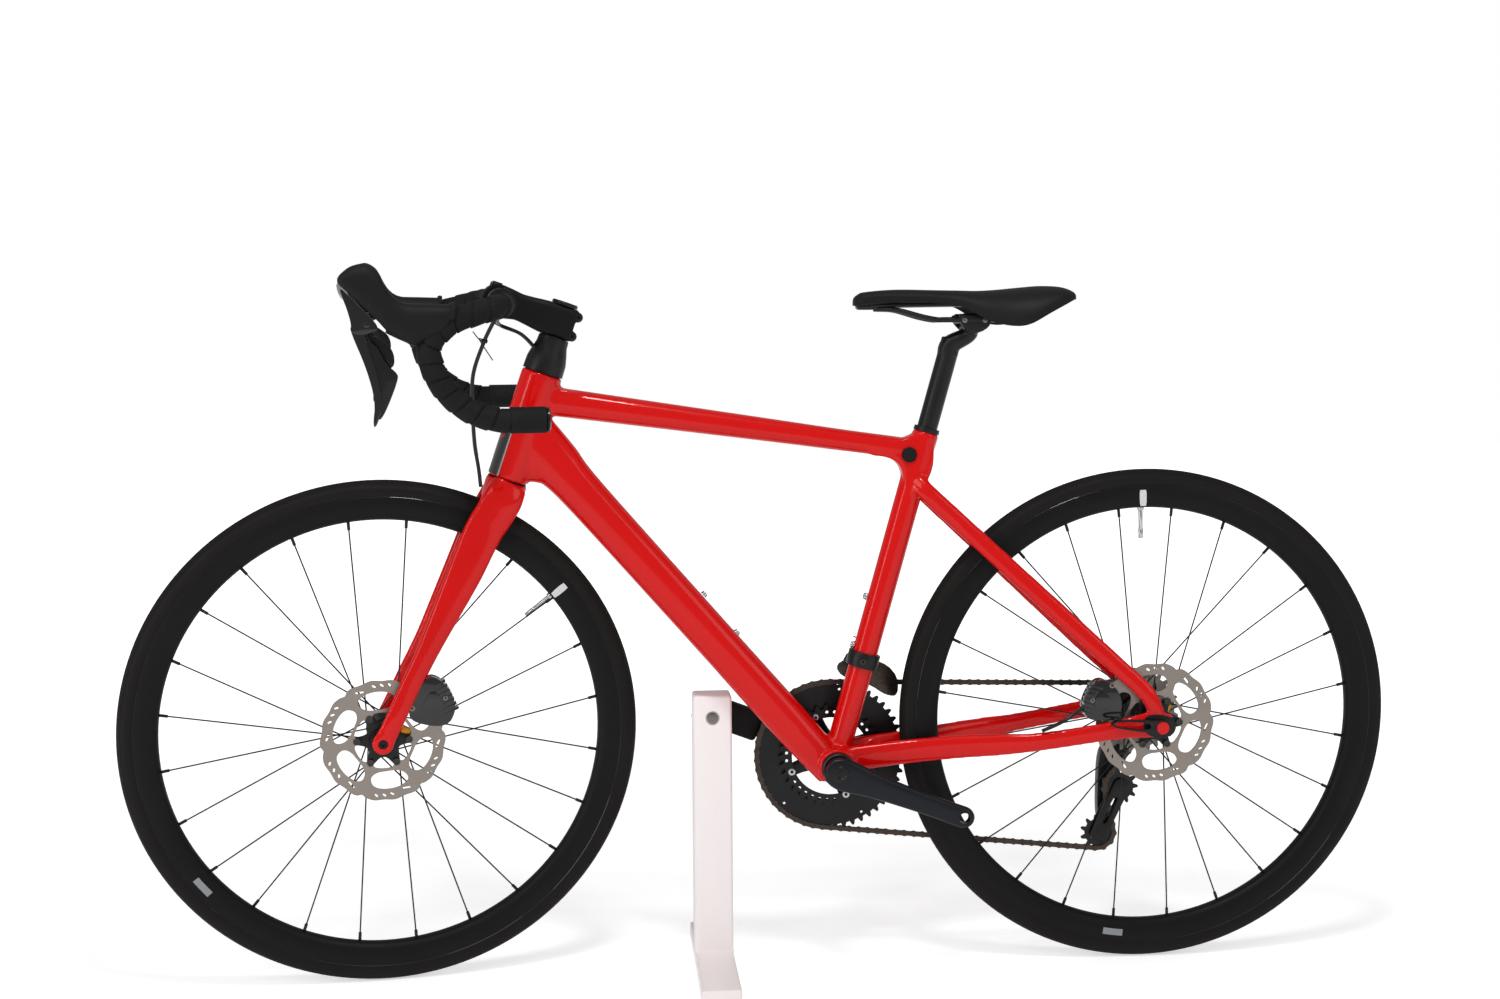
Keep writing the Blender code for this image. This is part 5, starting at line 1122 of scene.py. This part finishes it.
# ---------------------------------------------------------------- seat
def build_seat():
    post = rod("post", seat_axis(.502), seat_axis(.846), .0135, 48, .0006)
    x, z = .3455, .862
    neck = loft("neck", [(*seat_axis(.825), .0136, .0136), (*seat_axis(.838), .0128, .0140),
                         (x - .002, 0, .851, .0105, .0170), (x, 0, .860, .0092, .0190)], 32, 2.6, 5)
    rocker = rod("rocker", (x, -.0200, z), (x, .0200, z), .0108, 40, .0010)
    post = melt("seatpost", [post, neck, rocker], .0012, 3)
    finished(post, "seatpost", "satin_black", "seatpost", smooth=40)
    lower = block("clamp_cradle", (SADDLE_CLAMP_X, 0, .8690), (.038, .046, .0060), .0018, 0, 4)
    grips = [block("clamp_grip", (SADDLE_CLAMP_X, side * .0220, .8728), (.036, .0125, .0120), .0030, 0, 4)
        for side in (-1, 1)]
    cheeks = [plate("clamp_cheek", [rounded([(.3260, .8790), (.3260, .8690), (.3330, .8600), (.3420, .8530),
        (.3550, .8540), (.3660, .8610), (.3690, .8690), (.3690, .8790)], 1)], side * .0245, .0050, .0014, 3)
        for side in (-1, 1)]
    ribs = [block("clamp_rib", (SADDLE_CLAMP_X + dx, 0, .8752), (.0022, .054, .0050), .0008)
        for dx in (-.012, -.006, 0, .006, .012)]
    finished(join("saddle_clamp", lower, *grips, *ribs, *cheeks), "saddle_clamp", "satin_black",
        "saddle_clamp")
    barrels = [rod("clamp_barrel", (SADDLE_CLAMP_X + dx, -.0300, .8700),
        (SADDLE_CLAMP_X + dx, .0300, .8700), .0036, 24, .0006) for dx in (-.0135, .0135)]
    finished(join("clamp_barrels", *barrels), "saddle_clamp", "steel")

    rails = []
    half = ((.4270, .030, .8840), (.4130, .027, .8790), (.3960, .022, .8710), (.3820, .022, .8710),
            (.3110, .022, .8710), (.2980, .022, .8710), (.2780, .020, .8750), (.2450, .013, .8840),
            (.2180, .004, .8855))
    for side in (-1, 1):
        rails.append(hose("rail", [(x, side * y, z) for x, y, z in half], .0035, 8, 16))
    finished(join("saddle_rails", *rails), "saddle", "hose", "saddle_rails")
    stations = ((.1895, .8975, .0060, .8945, .8915), (.1910, .9010, .0130, .8945, .8900),
                (.1960, .9050, .0170, .8960, .8895), (.2050, .9080, .0200, .8985, .8900),
                (.2450, .9110, .0225, .8990, .8925), (.3000, .9100, .0290, .8960, .8930),
                (.3300, .9095, .0370, .8900, .8932), (.3520, .9090, .0455, .8760, .8935),
                (.3750, .9100, .0545, .8650, .8935), (.3980, .9120, .0625, .8615, .8935),
                (.4150, .9135, .0665, .8655, .8938), (.4360, .9150, .0690, .8790, .8945),
                (.4600, .9140, .0640, .8930, .8958), (.4740, .9095, .0500, .8995, .8985),
                (.4795, .9040, .0380, .9000, .9000))
    rings = []
    for x, top, width, edge, under in through(stations, 5).tolist():
        points = []
        for k in range(44):
            a = math.tau * k / 44
            c, s = math.cos(a), math.sin(a)
            y = math.copysign(abs(s) ** .85, s) * width
            if c >= 0:
                z = edge + (top - edge) * c ** .80
            else:
                z = edge - .0045 + (under - edge + .0045) * abs(c) ** .8
            points.append(Vector((x, y, z)))
        rings.append(points)
    shell = skin("saddle", rings)
    apply(shell, 'SUBSURF', levels=1)
    apply(shell, 'SMOOTH', factor=0.5, iterations=4)
    finished(shell, "saddle", "cover", "saddle", smooth=60)
    base = loft("saddle_base", [(.2100, 0, .8900, .0030, .0120), (.2450, 0, .8905, .0035, .0130),
                                (.3000, 0, .8910, .0035, .0190), (.3600, 0, .8915, .0035, .0300),
                                (.4100, 0, .8915, .0035, .0420), (.4450, 0, .8925, .0030, .0460),
                                (.4650, 0, .8940, .0020, .0380)], 32, 3.0, 5, (1, 0, 0))
    bumper = block("nose_bumper", (.2080, 0, .8895), (.030, .020, .010), .004, 0, 5)
    finished(join("saddle_base", base, bumper), "saddle", "hose")


# ---------------------------------------------------------------- stand
def build_stand():
    foot = block("foot", (0, 0, .0100), (.052, .288, .020), .0030, 0, 4)
    post = block("post", (0, .0280, .1930), (.052, .0440, .3580), .0045, 0, 6)
    hole = rod("hole", (0, -.05, STAND_PIN_Z), (0, .1, STAND_PIN_Z), .0066, 40)
    recess = turned("recess", [(0, 0), (.0098, 0), (.0088, .0022), (0, .0022)], (0, .0055, STAND_PIN_Z), 48)
    post = bore(post, hole, recess)
    weld = block("post_foot_weld", (0, .0280, .0210), (.0530, .0452, .0050), .0020, 0, 3)
    finished(join("stand", foot, post, weld), "frame", "white_paint", "stand", smooth=40)
    pin = rod("pin", (0, .0052, STAND_PIN_Z), (0, .0568, STAND_PIN_Z), .0064, 40, .0005)
    head = bolt("pin_head", (0, .0046, STAND_PIN_Z), ACROSS, .0078, .0040)
    finished(join("stand_pin", pin, head), "frame", "steel", "stand_pin")


# ---------------------------------------------------------------- studio
def build_studio():
    bpy.ops.mesh.primitive_grid_add(x_subdivisions=2, y_subdivisions=2, size=16)
    floor = take(bpy.context.object)
    floor.name = "floor"
    paper = surface("white_studio_floor", "F4F4F4", 0.55, grain=0.05, relief=0.0, second="F0F0F0",
                    **{"Emission Color": (1, 1, 1, 1)})
    # painted light on the floor: its emission sweeps up to clean white away from the wheels and stays
    # dimmer near them, a painted shade round the bicycle
    tree = paper.node_tree
    where = add_node(tree, 'ShaderNodeTexCoord').outputs['Object']
    away = add_node(tree, 'ShaderNodeVectorMath', links={0: where}, operation='LENGTH')
    glow = add_node(tree, 'ShaderNodeMapRange', {'From Min': 0.9, 'From Max': 2.6, 'To Min': 0.52,
        'To Max': 1.0}, {'Value': away.outputs['Value']})
    # the paper's painted glow seen from the object is dimmer than the glow the camera sees
    seen = add_node(tree, 'ShaderNodeLightPath')
    share = add_node(tree, 'ShaderNodeMapRange', {'To Min': 0.5}, {'Value': seen.outputs['Is Camera Ray']})
    level = add_node(tree, 'ShaderNodeMath', links={0: glow.outputs['Result'], 1: share.outputs['Result']},
                     operation='MULTIPLY')
    tree.links.new(level.outputs[0], tree.nodes["Principled BSDF"].inputs["Emission Strength"])
    place(floor, Matrix.Translation((0, 3, 0)))
    floor.data.materials.append(paper)
    world = bpy.data.worlds.new("studio")
    bpy.context.scene.world = world
    world.use_nodes = True
    tree = world.node_tree
    soft = tree.nodes["Background"]
    soft.inputs["Color"].default_value = (1, 1, 1, 1)
    soft.inputs["Strength"].default_value = 0.37
    backdrop = add_node(tree, 'ShaderNodeBackground', {"Color": (1, 1, 1, 1), "Strength": 1.0})
    seen = add_node(tree, 'ShaderNodeLightPath')
    mixed = add_node(tree, 'ShaderNodeMixShader', links={0: seen.outputs['Is Camera Ray'],
                                                        1: soft.outputs[0], 2: backdrop.outputs[0]})
    tree.links.new(mixed.outputs[0], tree.nodes["World Output"].inputs["Surface"])
    for name, where, wide, tall, energy in (("key", (-1.8, -2.6, 2.9), 1.6, 1.6, 24),
                                            ("fill", (2.4, -2.2, 1.6), 1.4, 1.4, 9),
                                            ("top", (0.1, -1.2, 3.0), 0.45, 0.45, 24),
                                            ("strip", (-2.6, -1.5, 1.0), 0.50, 1.9, 15)):
        data = bpy.data.lights.new(name, 'AREA')
        data.energy = energy
        data.shape = 'RECTANGLE'
        data.size, data.size_y = wide, tall
        lamp = bpy.data.objects.new(name, data)
        bpy.context.scene.collection.objects.link(lamp)
        lamp.location = where
        lamp.rotation_euler = (Vector((0.05, 0, 0.45)) - Vector(where)).to_track_quat('-Z', 'Y').to_euler()
    bpy.context.scene.view_settings.view_transform = 'Standard'
    data = bpy.data.cameras.new("camera")
    data.lens, data.sensor_width = 45.0, 36.0
    camera = bpy.data.objects.new("camera", data)
    bpy.context.scene.collection.objects.link(camera)
    yaw, pitch, roll = (math.radians(a) for a in (4.779, 5.060, -0.357))
    forward = Vector((math.sin(yaw) * math.cos(pitch), math.cos(yaw) * math.cos(pitch), -math.sin(pitch)))
    right = Vector((math.cos(yaw), -math.sin(yaw), 0))
    up = right.cross(forward)
    right, up = (right * math.cos(roll) + up * math.sin(roll), up * math.cos(roll) - right * math.sin(roll))
    turn = Matrix((right, up, -forward)).transposed().to_4x4()
    camera.matrix_world = Matrix.Translation((-0.1545, -2.4645, 0.8545)) @ turn
    bpy.context.scene.camera = camera


build_frame()
build_fork()
build_stem_and_bar()
build_controls()
wheel("front", FRONT_AXLE, (-.030, .030), (-.050, .050), FRONT_ROTOR_Y, 38.3, 219)
wheel("rear", REAR_AXLE, (-.034, .018), (-.071, .0240), REAR_ROTOR_Y, 91.3, 262)
build_chain()
build_cranks()
build_cassette()
build_derailleurs()
build_brakes()
build_seat()
build_stand()
build_studio()
rest_all()
